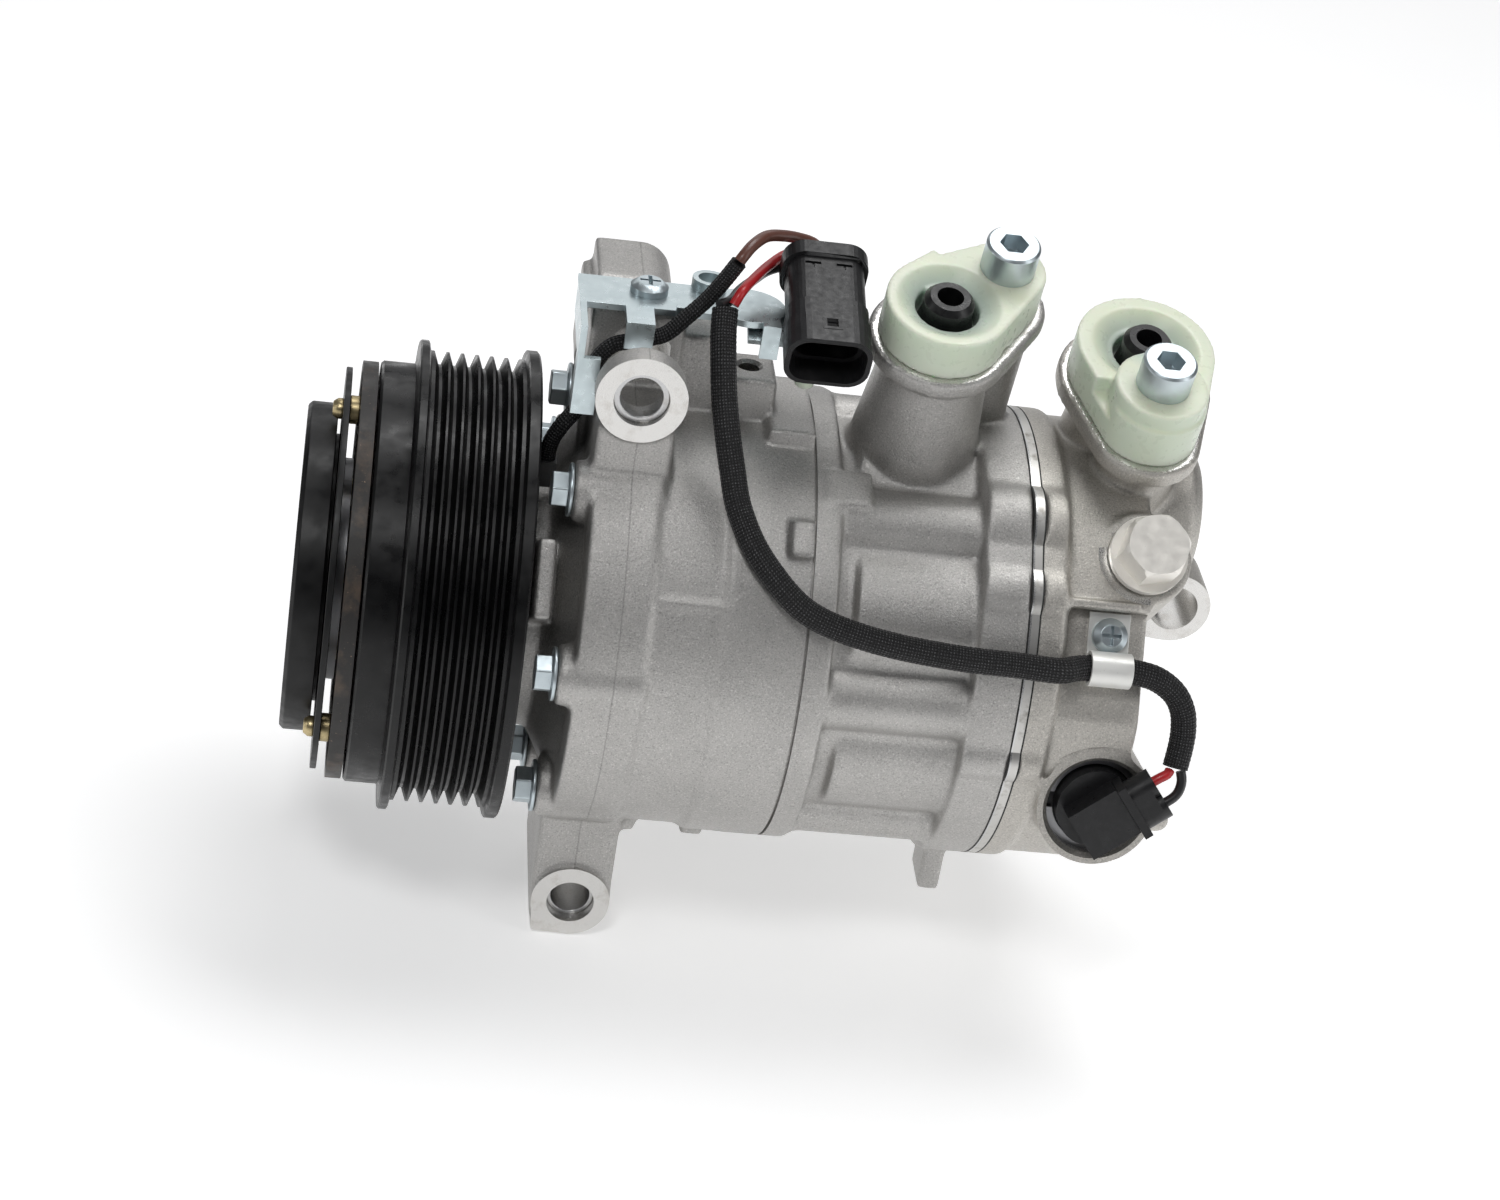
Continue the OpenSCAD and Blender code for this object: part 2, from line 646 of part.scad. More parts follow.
module harness_bracket() color(zinc_blue) difference() {
    union() {
        translate([0, 0, bracket_z]) linear_extrude(bracket_t) {
            translate([20.5, -7]) square([34, 15]);
            translate([31.2, -16]) square([6.6, 10]);
            hull() {
                translate([54, -4]) square([1, 11]);
                translate([60.5, 0]) circle(r = 9);
            }
        }
        // Left leg and the tab that is bent forward from it
        block([20.5, -20.6, 73], [22.1, 5, bracket_z + bracket_t]);
        block([20.5, -20.6, 59], [22.1, -16, 74]);
        block([20.5, -20.6, 59], [26, -19, 73.4]);
        // Tab over the coil lead
        block([31.2, -16, 74.6], [37.8, -14.4, bracket_z + bracket_t]);
        // Small bent tab and the raised hook at the back
        block([43, -7.4, bracket_z - 2], [46.4, -6, bracket_z + bracket_t + 1]);
        difference() {
            translate([51.5, 7.5, bracket_z]) cylinder(h = 4.2, r = 4.2);
            translate([51.5, 7.5, bracket_z - 1]) cylinder(h = 6, r = 2.8);
        }
        // Curled tab at the right end
        block([63.4, -10.6, 73], [67.7, -9, bracket_z + bracket_t]);
        block([63.4, -10.6, bracket_z], [67.7, -2, bracket_z + bracket_t]);
        // Tongue that slides into the foot of the plug housing
        translate([connector_x, connector_y, connector_z]) rotate([90 + connector_dip, 0, 0])
            block([-17, -9.3, -9], [5, -7.9, 3]);
    }
    translate([bracket_screw_x, bracket_screw_y, bracket_z - 1]) cylinder(h = 4, r = 2.7);
}

// Pan head screw with a cross recess, seated at z = 0
module pan_screw(head_r, head_h, shank_r, l) {
    translate([0, 0, -l]) cylinder(h = l, r = shank_r);
    difference() {
        union() {
            cylinder(h = head_h * 0.55, r = head_r);
            translate([0, 0, head_h * 0.55])
                cylinder(h = head_h * 0.45, r1 = head_r, r2 = head_r * 0.62);
        }
        translate([-head_r * 0.55, -0.45, head_h * 0.4]) cube([head_r * 1.1, 0.9, head_h]);
        translate([-0.45, -head_r * 0.55, head_h * 0.4]) cube([0.9, head_r * 1.1, head_h]);
    }
}

module bracket_screw() color(zinc_blue)
    translate([bracket_screw_x, bracket_screw_y, bracket_z + bracket_t])
        pan_screw(4.5, 2.9, 2.45, 5.6);

module p_clip() color(zinc_blue) facing(pad_angle) difference() {
    union() {
        translate([pad_x - 5, clip_sleeve_v, pad_d]) cube([10, 4.6 - clip_sleeve_v, 1]);
        // Band round the sleeve
        translate([pad_x - 5, clip_sleeve_v, pad_d + 4.2]) rotate([0, 90, 0])
            cylinder(h = 10, r = 4.2);
    }
    translate([pad_x - 6, clip_sleeve_v, pad_d + 4.2]) rotate([0, 90, 0])
        cylinder(h = 12, r = 3.25);
    translate([pad_x, -0.8, pad_d - 1]) cylinder(h = 4, r = 2.2);
}

module p_clip_screw() color(zinc_blue) facing(pad_angle, pad_x, -0.8, pad_d + 1)
    pan_screw(4.2, 2.9, 1.95, 9);

module relief_plug() color(cast_grey) facing(relief_angle, relief_x, relief_v, relief_seat_d) {
    translate([0, 0, -14]) cylinder(h = 15, r = 5.9);
    translate([0, 0, 1]) cylinder(h = 2, r = 9.4);
    translate([0, 0, 3]) rotate(12) intersection() {
        hexagon(14.2, 9);
        cylinder(h = 9, r1 = 12.5, r2 = 7.2);
    }
}

module relief_washer() color(steel_grey) facing(relief_angle, relief_x, relief_v, relief_seat_d)
    difference() {
        cylinder(h = 1, r = 8.6);
        translate([0, 0, -1]) cylinder(h = 3, r = 5.9);
    }

// Frame of the control valve: z = 0 on the mouth of its bore
module valve_frame() facing(valve_angle, valve_x, valve_v, valve_face_d) children();

module valve_body() color(brass_gold) valve_frame() difference() {
    union() {
        translate([0, 0, -45]) cylinder(h = 19, r = 9.2);
        translate([0, 0, -66]) cylinder(h = 21, r = 7.3);
    }
    translate([0, 0, -60]) cylinder(h = 40, r = 3.05);
    for (d = [-62, -52, -38]) translate([-10, 0, d]) rotate([0, 90, 0]) cylinder(h = 20, r = 1.5);
}

module valve_coil() color(paint_black) valve_frame() difference() {
    union() {
        translate([0, 0, -26]) cylinder(h = 19, r = 9.6);
        translate([0, 0, -7]) cylinder(h = 2, r = 11.4);
        translate([0, 0, -5]) cylinder(h = 5.4, r = 9.6);
        rotate(38) block([-6.6, -8.2, 0], [6.4, 4.6, 6.8]);
    }
    translate([0, 0, -27]) cylinder(h = 19, r = 3.05);
}

module valve_seals() color(rubber_black) valve_frame() {
    translate([0, 0, -35]) difference() {
        cylinder(h = 1.8, r = 9.95);
        translate([0, 0, -1]) cylinder(h = 4, r = 9.2);
    }
    translate([0, 0, -48]) difference() {
        cylinder(h = 1.6, r = 7.95);
        translate([0, 0, -1]) cylinder(h = 4, r = 7.3);
    }
}

module valve_plunger() color(steel_grey) valve_frame()
    translate([0, 0, -57]) cylinder(h = 46, r = 3);

module valve_connector() color(rubber_black) valve_frame() rotate(38) {
    // Latch plate on the coil head, then two round wire barrels
    block([6.5, -9.6, 0.6], [8.6, 4.6, 8.4]);
    difference() {
        union() {
            for (v = [-5.6, 0.6]) translate([8.6, v, 4.4]) rotate([0, 90, 0])
                cylinder(h = 6.4, r = 3.6);
            block([8.6, -5.6, 0.8], [13.6, 0.6, 8]);
        }
        for (v = [-5.6, 0.6]) translate([12, v, 4.4]) rotate([0, 90, 0])
            cylinder(h = 6, r = 1.9);
    }
}

// Frame of the main plug: z runs from the wire end to the mouth, y points up
module connector_frame() translate([connector_x, connector_y, connector_z])
    rotate([90 + connector_dip, 0, 0]) children();

module rounded_prism(w, t, r, z0, z1)
    translate([0, 0, z0]) linear_extrude(z1 - z0) hull()
        for (sx = [-1, 1], sy = [-1, 1])
            translate([sx * (w / 2 - r), sy * (t / 2 - r)]) circle(r = r, $fn = 32);

module main_connector() color(rubber_black) connector_frame() difference() {
    union() {
        rounded_prism(18.2, 12.6, 4.2, -12.5, connector_l / 2);
        rounded_prism(20.4, 15, 5.4, -connector_l / 2, -12.5);
        // Foot with the two rails that hold the bracket's tongue
        block([-6, -7.8, -10], [6, -6, 8]);
        block([-9.3, -4.6, 2], [9.3, 1.6, 9]);
    }
    rounded_prism(15.2, 9.6, 3.4, -3, connector_l / 2 + 1);
}

module connector_pins() color(brass_gold) connector_frame()
    for (x = [-4.6, 0, 4.6]) translate([x - 0.8, -0.4, -3]) cube([1.6, 0.8, 12]);

module connector_peg() color(nylon_green) connector_frame()
    translate([-3.4, -6.3, 11]) rotate([90, 0, 0]) cylinder(h = 6, r = 2.4);

module harness_sleeve() color(rubber_black) cord(sleeve_route, sleeve_r, 10);
module coil_sleeve() color(rubber_black) cord(coil_sleeve_route, coil_sleeve_r, 8);
module brown_wire() color([0.35, 0.2, 0.16]) cord(brown_route, 1.4, 8);
module red_wires() color([0.7, 0.05, 0.06]) {
    cord(red_route, wire_r, 8);
    cord(valve_red_route, wire_r, 8);
}
module black_wires() color(rubber_black) {
    cord(black_route, wire_r, 8);
    cord(valve_black_route, wire_r, 8);
}

// ---------- clutch ----------

module coil_shell() color(steel_grey) difference() {
    union() {
        turned([[coil_x0, 43.6], [coil_x0, coil_out_r], [coil_x1, coil_out_r],
            [coil_plate_x, coil_out_r - 2], [coil_plate_x, 20.05], [coil_x1, 20.05],
            [coil_x1, coil_in_r], [coil_x0, coil_in_r], [coil_x0, coil_in_r + 2.4],
            [coil_x1 - 2, coil_in_r + 2.4], [coil_x1 - 2, 43.6]]);
        // Grommet block of the coil lead
        block([13, -15, 36], [19.6, -10, 42.4]);
    }
}

module coil_winding() color([0.32, 0.24, 0.16])
    tube(coil_x0 + 0.6, coil_x1 - 2.2, 43.5, coil_in_r + 2.5);

// Open ring: the gap is cut at the top
module snap_ring(x, t, r_out, r_in) difference() {
    tube(x, x + t, r_out, r_in);
    block([x - 1, -2.5, 0], [x + t + 1, 2.5, r_out + 1]);
}

module snap_rings() color(steel_grey) {
    snap_ring(-20.5, 1.2, 20, 16.4);
    snap_ring(10.5, 1.3, 22.6, 18.9);
    valve_frame() translate([0, 0, -4.8]) difference() {
        cylinder(h = 1.1, r = 12.6);
        translate([0, 0, -1]) cylinder(h = 4, r = 10);
        block([-14, -2, -1], [0, 2, 3]);
    }
}

module bearing_inner_ring() color(steel_grey) difference() {
    tube(bearing_x0, bearing_x1, 20.6, nose_r);
    for (x = [-13.5, -4.5]) translate([x, 0, 0]) rotate([0, 90, 0])
        rotate_extrude($fn = 96) translate([ball_circle_r, 0]) circle(r = ball_r + 0.1, $fn = 32);
}

module bearing_outer_ring() color(steel_grey) difference() {
    tube(bearing_x0, bearing_x1, bearing_r, 24.4);
    for (x = [-13.5, -4.5]) translate([x, 0, 0]) rotate([0, 90, 0])
        rotate_extrude($fn = 96) translate([ball_circle_r, 0]) circle(r = ball_r + 0.1, $fn = 32);
}

module bearing_seals() color([0.35, 0.16, 0.1]) {
    tube(bearing_x0 + 0.2, bearing_x0 + 1.2, 24.4, 20.7);
    tube(bearing_x1 - 1.2, bearing_x1 - 0.2, 24.4, 20.7);
}

// Two rows of balls, each held in a cage ring
module bearing_balls() color(steel_grey) for (x = [-13.5, -4.5]) {
    tube(x - 0.7, x + 0.7, 23.3, 21.7);
    round_shaft(ball_count, x * 2) translate([x, -ball_circle_r, 0]) sphere(r = ball_r);
}

module rotor_pulley() color(paint_black) difference() {
    turned(concat(
        [[rotor_face_x, bearing_r], [rotor_face_x, drum_r - 0.6], [rotor_face_x + 0.6, drum_r],
            [drum_end_x, drum_r], [left_flange_x - 0.3, drum_r + 1.6],
            [left_flange_x, flange_r - 0.4], [left_flange_x + 0.4, flange_r],
            [-band_half - 0.3, flange_r], [-band_half, flange_r - 0.5],
            [-band_half + 0.4, rib_r]],
        [for (i = [0:groove_count - 1], p = [[-groove_top, 0], [-groove_root, -groove_depth],
            [groove_root, -groove_depth], [groove_top, 0]]) [groove_x(i) + p[0], rib_r + p[1]]],
        [[band_half - 0.4, rib_r], [band_half, flange_r - 0.5], [band_half + 0.3, flange_r],
            [rotor_end_x - 0.5, flange_r], [rotor_end_x, flange_r - 0.5],
            [rotor_end_x, rotor_bore_r], [coil_x0 - 0.9, rotor_bore_r],
            [coil_x0 - 0.9, rotor_hub_r], [3, rotor_hub_r], [3, 26], [1, 26], [1, bearing_r]]));
    // Flux slots in the friction face
    for (slot = [[33.4, 35.4], [43.8, 45.8]]) difference() {
        tube(rotor_face_x - 1, coil_x0 - 0.5, slot[1], slot[0]);
        round_shaft(6, slot[0]) translate([rotor_face_x - 2, -50, -3]) cube([8, 50, 6]);
    }
}

// ---------- shaft and clutch hub ----------

module main_shaft() color(steel_grey) difference() {
    union() {
        bar(-31.4, -20, 6);
        bar(-21, 121, shaft_r);
    }
    bar(-32, -12, 3);
}

module lug_plate() color(steel_grey) difference() {
    union() {
        bar(38, 46, 36);
        for (y = [-8.4, 4.4]) block([45, y, 14], [54, y + 4, 27]);
    }
    bar(30, 60, shaft_r);
    ybar(50.5, 21.5, -10, 10, 2.5);
    // Lightening pockets away from the hinge
    for (angle = [150, 270, 30]) rotate([angle, 0, 0]) translate([0, 0, -24])
        bar(42, 47, 6);
}

module swash_plate() color([0.55, 0.53, 0.5]) difference() {
    union() {
        bar(swash_x0, swash_x1, swash_r);
        bar(57, swash_x0 + 1, 18.5);
        block([46.8, -4, 14.5], [60, 4, 18.4]);
        block([46.8, -4, 14.5], [54.5, 4, 26]);
    }
    bar(50, 80, shaft_r);
    ybar(50.5, 21.5, -10, 10, 2.5);
}

module hinge_pin() color(steel_grey) ybar(50.5, 21.5, -9.2, 9.2, 2.5);

// Return spring round the shaft, as one closed coil
module swash_spring() color(steel_grey) {
    turns = 4;
    steps = 18;
    m = turns * steps + 1;
    wire = 1;
    sides_n = 8;
    points = [for (j = [0:m - 1], i = [0:sides_n - 1]) let (
        a = 360 * j / steps, b = 360 * i / sides_n, r = 10.6 + wire * cos(b))
        [47.2 + 8.6 * j / (m - 1) + wire * sin(b), -r * cos(a), r * sin(a)]];
    faces = concat(
        [[for (i = [sides_n - 1:-1:0]) i]],
        [for (j = [0:m - 2], i = [0:sides_n - 1]) let (k = (i + 1) % sides_n)
            [j * sides_n + i, j * sides_n + k, (j + 1) * sides_n + k, (j + 1) * sides_n + i]],
        [[for (i = [0:sides_n - 1]) (m - 1) * sides_n + i]]);
    polyhedron(points, faces, convexity = 10);
}

module clutch_hub() color(steel_grey) difference() {
    union() {
        bar(spring_x + spring_t, spring_x + spring_t + 2.2, 27);
        bar(-32.4, -22.6, 12);
    }
    bar(-33, -20, 6);
    round_shaft(3, 30) translate([0, -inner_rivet_r, 0]) bar(-40, -20, 2);
}

module hub_cover() color(paint_black) difference() {
    turned([[cover_front_x, 31], [cover_front_x, cover_r - 1], [cover_front_x + 1, cover_r],
        [cover_back_x, cover_r], [cover_back_x, cover_r - 1.6], [cover_front_x + 1.6, cover_r - 1.6],
        [cover_front_x + 1.6, 32.6], [spring_x, 32.6], [spring_x, 12], [spring_x - 1.3, 12],
        [spring_x - 1.3, 31]]);
    round_shaft(3, 30) translate([0, -inner_rivet_r, 0]) bar(-40, -20, 2);
}

module hub_rivets() color(brass_gold)
    round_shaft(3, 30) translate([0, -inner_rivet_r, 0]) {
        bar(-32.5, -27.4, 2);
        bar(-33, -32.4, 3.6);
        bar(-34.2, -33, 2.4, 3.6);
        bar(-27.4, -26.4, 3.4);
    }

module hub_bolt() color(zinc_blue) {
    bar(-32.5, -13, 3);
    bar(-34, -32.4, 8.4);
    translate([-38.6, 0, 0]) rotate([0, 90, 0]) hexagon(10, 4.7);
}

// Spring sheet: hub disc, three leaves and the rim that carries the armature
module spring_plate() color(paint_black) difference() {
    bar(spring_x, spring_x + spring_t, 49);
    bar(spring_x - 1, 0, 12);
    round_shaft(3, 30) translate([0, -inner_rivet_r, 0]) bar(-40, -20, 2);
    round_shaft(3, 90) translate([0, -outer_rivet_r, 0]) bar(-40, -20, 1.9);
    // Long slots that free the leaves
    difference() {
        tube(spring_x - 1, spring_x + 4, 36.5, 33);
        round_shaft(3, 55) translate([spring_x - 2, -40, -6]) cube([8, 40, 12]);
    }
}

module armature_plate() color(paint_black) difference() {
    tube(armature_x, armature_back_x, armature_r, 27.8);
    round_shaft(3, 90) translate([0, -outer_rivet_r, 0]) bar(-40, -20, 1.9);
    difference() {
        tube(armature_x - 1, armature_back_x + 1, 40.4, 38);
        round_shaft(6, 10) translate([armature_x - 2, -50, -4]) cube([9, 50, 8]);
    }
}

module armature_rivets() color(brass_gold)
    round_shaft(3, 90) translate([0, -outer_rivet_r, 0]) {
        bar(-31.2, armature_back_x - 0.3, 1.9);
        bar(-32.4, spring_x, 2.5);
        bar(-33.6, -32.4, 1.7, 2.5);
        difference() {
            bar(spring_x + spring_t, armature_x, 3.4);
            bar(-32, -25, 1.9);
        }
    }

// ---------- bearings, seal, pistons ----------

module shaft_seal() color(rubber_black) tube(6.2, 14.6, 13, shaft_r + 0.05);
module front_needle_bearing() color(steel_grey) tube(17, 31, 12, shaft_r + 0.04);
module rear_needle_bearing() color(steel_grey) tube(100, 116, 12, shaft_r + 0.04);

// Cage with radial rollers between the lug plate and the front wall
module thrust_rollers() color(steel_grey) {
    tube(35.2, 36.8, 25, 12.6);
    round_shaft(16, 0) translate([36, 0, 0]) rotate([90, 0, 0])
        translate([0, 0, 14]) cylinder(h = 9, r = 1.9);
}

// Double-ended shoe pocket in a piston, and the crown that runs in the cylinder
module piston() difference() {
    translate([0, -cylinder_circle_r, 0]) bar(57.5, piston_top_x, cylinder_r - 0.05);
    // Slot for the swash plate rim
    tube(61, 74, 39.4, 10);
    translate([(swash_x0 + swash_x1) / 2, -cylinder_circle_r, 0]) sphere(r = shoe_r + 0.05);
    // Waist of the piston, and the hollow of its crown
    difference() {
        tube(76.5, 103, 60, 10);
        tube(76, 104, 36.5, 25.5);
        tube(76, 104, 60, 36);
    }
    bar(40, 110, 25.5);
}

module pistons() color([0.74, 0.74, 0.73])
    round_shaft(bolt_count, bolt_angle + bolt_step / 2) piston();

// Half ball that slides on one face of the swash plate; side is -1 or 1
module shoe(side) translate([(swash_x0 + swash_x1) / 2, 0, 0]) rotate([0, 90 * side, 0])
    rotate_extrude() intersection() {
        circle(r = shoe_r);
        translate([0, (swash_x1 - swash_x0) / 2 + shoe_film]) square([shoe_r, shoe_r]);
    }

module piston_shoes() color(brass_gold)
    round_shaft(bolt_count, bolt_angle + bolt_step / 2) {
        translate([0, -cylinder_circle_r, 0]) shoe(-1);
        translate([0, -cylinder_circle_r, 0]) shoe(1);
    }

front_housing();
cylinder_block();
rear_housing();
valve_plate();
front_gasket();
rear_gasket();
suction_reeds();
discharge_reeds();
body_seal();
through_bolts();
lug_bushings();
suction_cap();
discharge_cap();
port_plugs();
cap_screws();
harness_bracket();
bracket_screw();
p_clip();
p_clip_screw();
relief_plug();
relief_washer();
valve_body();
valve_coil();
valve_seals();
valve_connector();
main_connector();
connector_pins();
connector_peg();
harness_sleeve();
coil_sleeve();
brown_wire();
red_wires();
black_wires();
coil_shell();
coil_winding();
snap_rings();
bearing_inner_ring();
shaft_seal();
pistons();
piston_shoes();
front_needle_bearing();
rear_needle_bearing();
rotor_pulley();
bearing_outer_ring();
bearing_seals();
bearing_balls();
main_shaft();
lug_plate();
swash_plate();
hinge_pin();
swash_spring();
clutch_hub();
hub_cover();
hub_rivets();
hub_bolt();
spring_plate();
armature_plate();
armature_rivets();
thrust_rollers();
valve_plunger();
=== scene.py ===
"""Looks of the air conditioning compressor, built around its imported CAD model."""

import math

import bmesh
import bpy
import numpy as np
from mathutils import Matrix, Vector


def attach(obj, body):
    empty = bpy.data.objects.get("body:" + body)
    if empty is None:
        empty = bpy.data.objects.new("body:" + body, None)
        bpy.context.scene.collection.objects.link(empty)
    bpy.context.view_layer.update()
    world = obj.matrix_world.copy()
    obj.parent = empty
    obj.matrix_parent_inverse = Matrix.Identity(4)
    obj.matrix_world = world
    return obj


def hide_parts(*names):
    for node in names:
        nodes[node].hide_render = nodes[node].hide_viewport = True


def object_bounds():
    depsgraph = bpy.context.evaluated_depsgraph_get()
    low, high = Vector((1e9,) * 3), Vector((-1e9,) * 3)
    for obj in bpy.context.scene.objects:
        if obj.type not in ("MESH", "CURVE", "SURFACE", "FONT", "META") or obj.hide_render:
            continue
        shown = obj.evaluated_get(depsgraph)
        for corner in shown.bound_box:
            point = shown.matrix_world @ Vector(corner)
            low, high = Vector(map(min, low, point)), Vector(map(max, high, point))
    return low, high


MM = 0.001

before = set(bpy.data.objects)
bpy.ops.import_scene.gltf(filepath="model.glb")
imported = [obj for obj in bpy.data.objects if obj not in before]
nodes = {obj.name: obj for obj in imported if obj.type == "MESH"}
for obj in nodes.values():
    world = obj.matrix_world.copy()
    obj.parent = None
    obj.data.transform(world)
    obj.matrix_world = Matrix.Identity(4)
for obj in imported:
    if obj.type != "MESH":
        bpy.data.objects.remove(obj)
cad_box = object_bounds()

# ---------- places, in millimetres and degrees, in the CAD model's frame ----------

# Ends of the castings along the shaft, which lies on the X axis
FRONT_SEAM, BLOCK_END, REAR_X = 79.5, 131, 134
# Radius inside which a casting's end is machined, and the ring of its seam groove
SPIGOT_R, GROOVE_R, GROOVE_OUT = 54, 54.7, 70
SEAM_GAP = 0.35
# Through bolts round the shaft: how many, at what radius, from what angle, in what holes
BOLT_COUNT, BOLT_CIRCLE, BOLT_ANGLE = 7, 49.5, 6.6
BOLT_HOLE_R, BOLT_THREAD_R = 3.3, 3.05
# Lug bores run along Y: X and Z of each, and where the front lugs are faced
UPPER_LUG, LOWER_LUG, REAR_LUG = (35.7, 68.7), (36.2, -72.1), (176.3, 15.3)
LUG_FACE_Y = -30
# Upright holes in the front housing: X and Y of each
PILLAR_HOLE, BRACKET_HOLE = (63, 0), (37, 2)
# Angles above -Y that the ports and bosses face
PORT_ANGLE, VALVE_ANGLE, RELIEF_ANGLE, PAD_ANGLE = 72, 12, 45, 32
# Their places: X, distance across, and distance out from the shaft
SUCTION, DISCHARGE = (104.5, 15, 84), (157, 26, 66)
VALVE, RELIEF, PAD = (154.5, -25, 53), (159, 6.5, 54), (151.5, -0.8, 50.5)
# Cap screws beside the ports: X and distance across
SUCTION_SCREW, DISCHARGE_SCREW = (119, 28), (158, 8.5)
# The plug housing's middle, and how far its mouth dips
CONNECTOR, CONNECTOR_DIP = (77.3, -10, 86), 18
# Radii inside: the crank chamber, the block's shaft bore, a cylinder, and their ring
CHAMBER_R, BLOCK_BORE_R, CYLINDER_R, CYLINDER_CIRCLE = 43, 12, 11, 31
# Grids on which castings and mouldings are rounded, and how often a moulding is smoothed
CAST_GRID, MOULD_GRID, MOULD_ROUNDS = 0.65, 0.45, 6


def facing(angle, x=0.0, v=0.0, d=0.0):
    """Frame whose +Z points away from the shaft at this angle above -Y, in metres."""
    turn = Matrix.Rotation(math.radians(90 - angle), 4, "X")
    return turn @ Matrix.Translation(Vector((x, v, d)) * MM)


def direction(angle):
    return (0, -math.cos(math.radians(angle)), math.sin(math.radians(angle)))


def round_shaft(count, start):
    """One rotation about the shaft for each of count places, starting above -Y."""
    return [
        Matrix.Rotation(-math.radians(start + 360 * i / count), 4, "X")
        for i in range(count)
    ]


# ---------- meshes ----------


def add_object(name, mesh):
    ob = bpy.data.objects.new(name, mesh)
    bpy.context.scene.collection.objects.link(ob)
    return ob


def smooth(mesh, angle):
    """Shades a mesh smooth, but for edges sharper than an angle in degrees."""
    mesh.shade_smooth()
    mesh.set_sharp_from_angle(angle=math.radians(angle))


def from_bmesh(name, bm):
    mesh = bpy.data.meshes.new(name)
    bmesh.ops.recalc_face_normals(bm, faces=bm.faces)
    bm.to_mesh(mesh)
    bm.free()
    return add_object(name, mesh)


def merged_copy(name, node):
    """The CAD node's mesh as a new closed mesh, with its doubled corners joined."""
    bm = bmesh.new()
    bm.from_mesh(nodes[node].data)
    bmesh.ops.remove_doubles(bm, verts=bm.verts, dist=1e-7)
    return from_bmesh(name, bm)


def rod(name, place, z0, z1, r0, r1=None, sides=96):
    """Closed cylinder or cone along the +Z of a frame; lengths in millimetres."""
    bm = bmesh.new()
    top = r0 if r1 is None else r1
    bmesh.ops.create_cone(
        bm,
        cap_ends=True,
        segments=sides,
        radius1=r0 * MM,
        radius2=top * MM,
        depth=(z1 - z0) * MM,
        matrix=place @ Matrix.Translation((0, 0, (z0 + z1) / 2 * MM)),
    )
    return from_bmesh(name, bm)


def slab(name, place, low, high):
    """Closed box from its lowest to its highest corner in a frame, in millimetres."""
    bm = bmesh.new()
    size = [b - a for a, b in zip(low, high)]
    centre = Vector([(a + b) / 2 for a, b in zip(low, high)]) * MM
    scale = Matrix.Diagonal([s * MM for s in size] + [1])
    bmesh.ops.create_cube(bm, size=1, matrix=place @ Matrix.Translation(centre) @ scale)
    return from_bmesh(name, bm)


def block(name, low, high):
    return slab(name, Matrix.Identity(4), low, high)


def prism(name, place, width, depth, radius, z0, z1):
    """Closed block with rounded corners round the +Z of a frame, in millimetres."""
    outline = []
    for corner, (sx, sy) in enumerate(((1, 1), (-1, 1), (-1, -1), (1, -1))):
        for step in range(7):
            a = math.radians(90 * corner + 15 * step)
            x = sx * (width / 2 - radius) + radius * math.cos(a)
            outline.append((x, sy * (depth / 2 - radius) + radius * math.sin(a)))
    bm = bmesh.new()
    low, high = (
        [bm.verts.new(place @ (Vector((x, y, z)) * MM)) for x, y in outline] for z in (z0, z1)
    )
    bm.faces.new(low)
    bm.faces.new(high)
    for i in range(len(outline)):
        bm.faces.new((low[i - 1], low[i], high[i], high[i - 1]))
    return from_bmesh(name, bm)


ALONG_X = Matrix.Rotation(math.radians(90), 4, "Y")
ALONG_Y = Matrix.Rotation(math.radians(-90), 4, "X")


def bar(name, x0, x1, r):
    return rod(name, ALONG_X, x0, x1, r, sides=160)


def ring_tool(x0, x1, r_out, r_in):
    """Ring round the shaft, to cut a groove or a chamber with."""
    ring = bar("cut", x0, x1, r_out)
    core = bar("core", x0 - 1, x1 + 1, r_in)
    combine(ring, [core], "DIFFERENCE")
    apply_modifiers(ring)
    bpy.data.objects.remove(core)
    return ring


def y_hole(name, centre, y0, y1, r):
    place = Matrix.Translation(Vector((centre[0], 0, centre[1])) * MM) @ ALONG_Y
    return rod(name, place, y0, y1, r)


def z_hole(name, centre, z0, z1, r0, r1=None, sides=32):
    return rod(name, Matrix.Translation(Vector((*centre, 0)) * MM), z0, z1, r0, r1, sides)


def apply_modifiers(ob):
    graph = bpy.context.evaluated_depsgraph_get()
    mesh = bpy.data.meshes.new_from_object(ob.evaluated_get(graph))
    ob.modifiers.clear()
    ob.data = mesh


def combine(ob, tools, operation):
    """Adds one boolean step for each tool, to be made real with the next apply."""
    for tool in tools:
        step = ob.modifiers.new("combine", "BOOLEAN")
        step.operation = operation
        step.solver = "MANIFOLD"
        step.object = tool


def discard(tools):
    for tool in tools:
        bpy.data.objects.remove(tool)


def round_over(ob, voxel, rounds):
    """Puts a solid and its combined tools on a grid, and rounds it all over."""
    grid = ob.modifiers.new("grid", "REMESH")
    grid.mode = "VOXEL"
    grid.voxel_size = voxel * MM
    fillet = ob.modifiers.new("fillet", "SMOOTH")
    fillet.factor = 0.5
    fillet.iterations = rounds
    apply_modifiers(ob)


def finish_piece(ob, node, body, *materials):
    """Puts a new piece in place of its CAD node."""
    ob.data.materials.clear()
    for material in materials:
        ob.data.materials.append(material)
    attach(ob, body)
    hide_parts(node)


# Faces closer to level than this are one face, and edges sharper than this are bevelled
FLAT_WITHIN, SOFT_ABOVE = math.radians(0.4), math.radians(38)


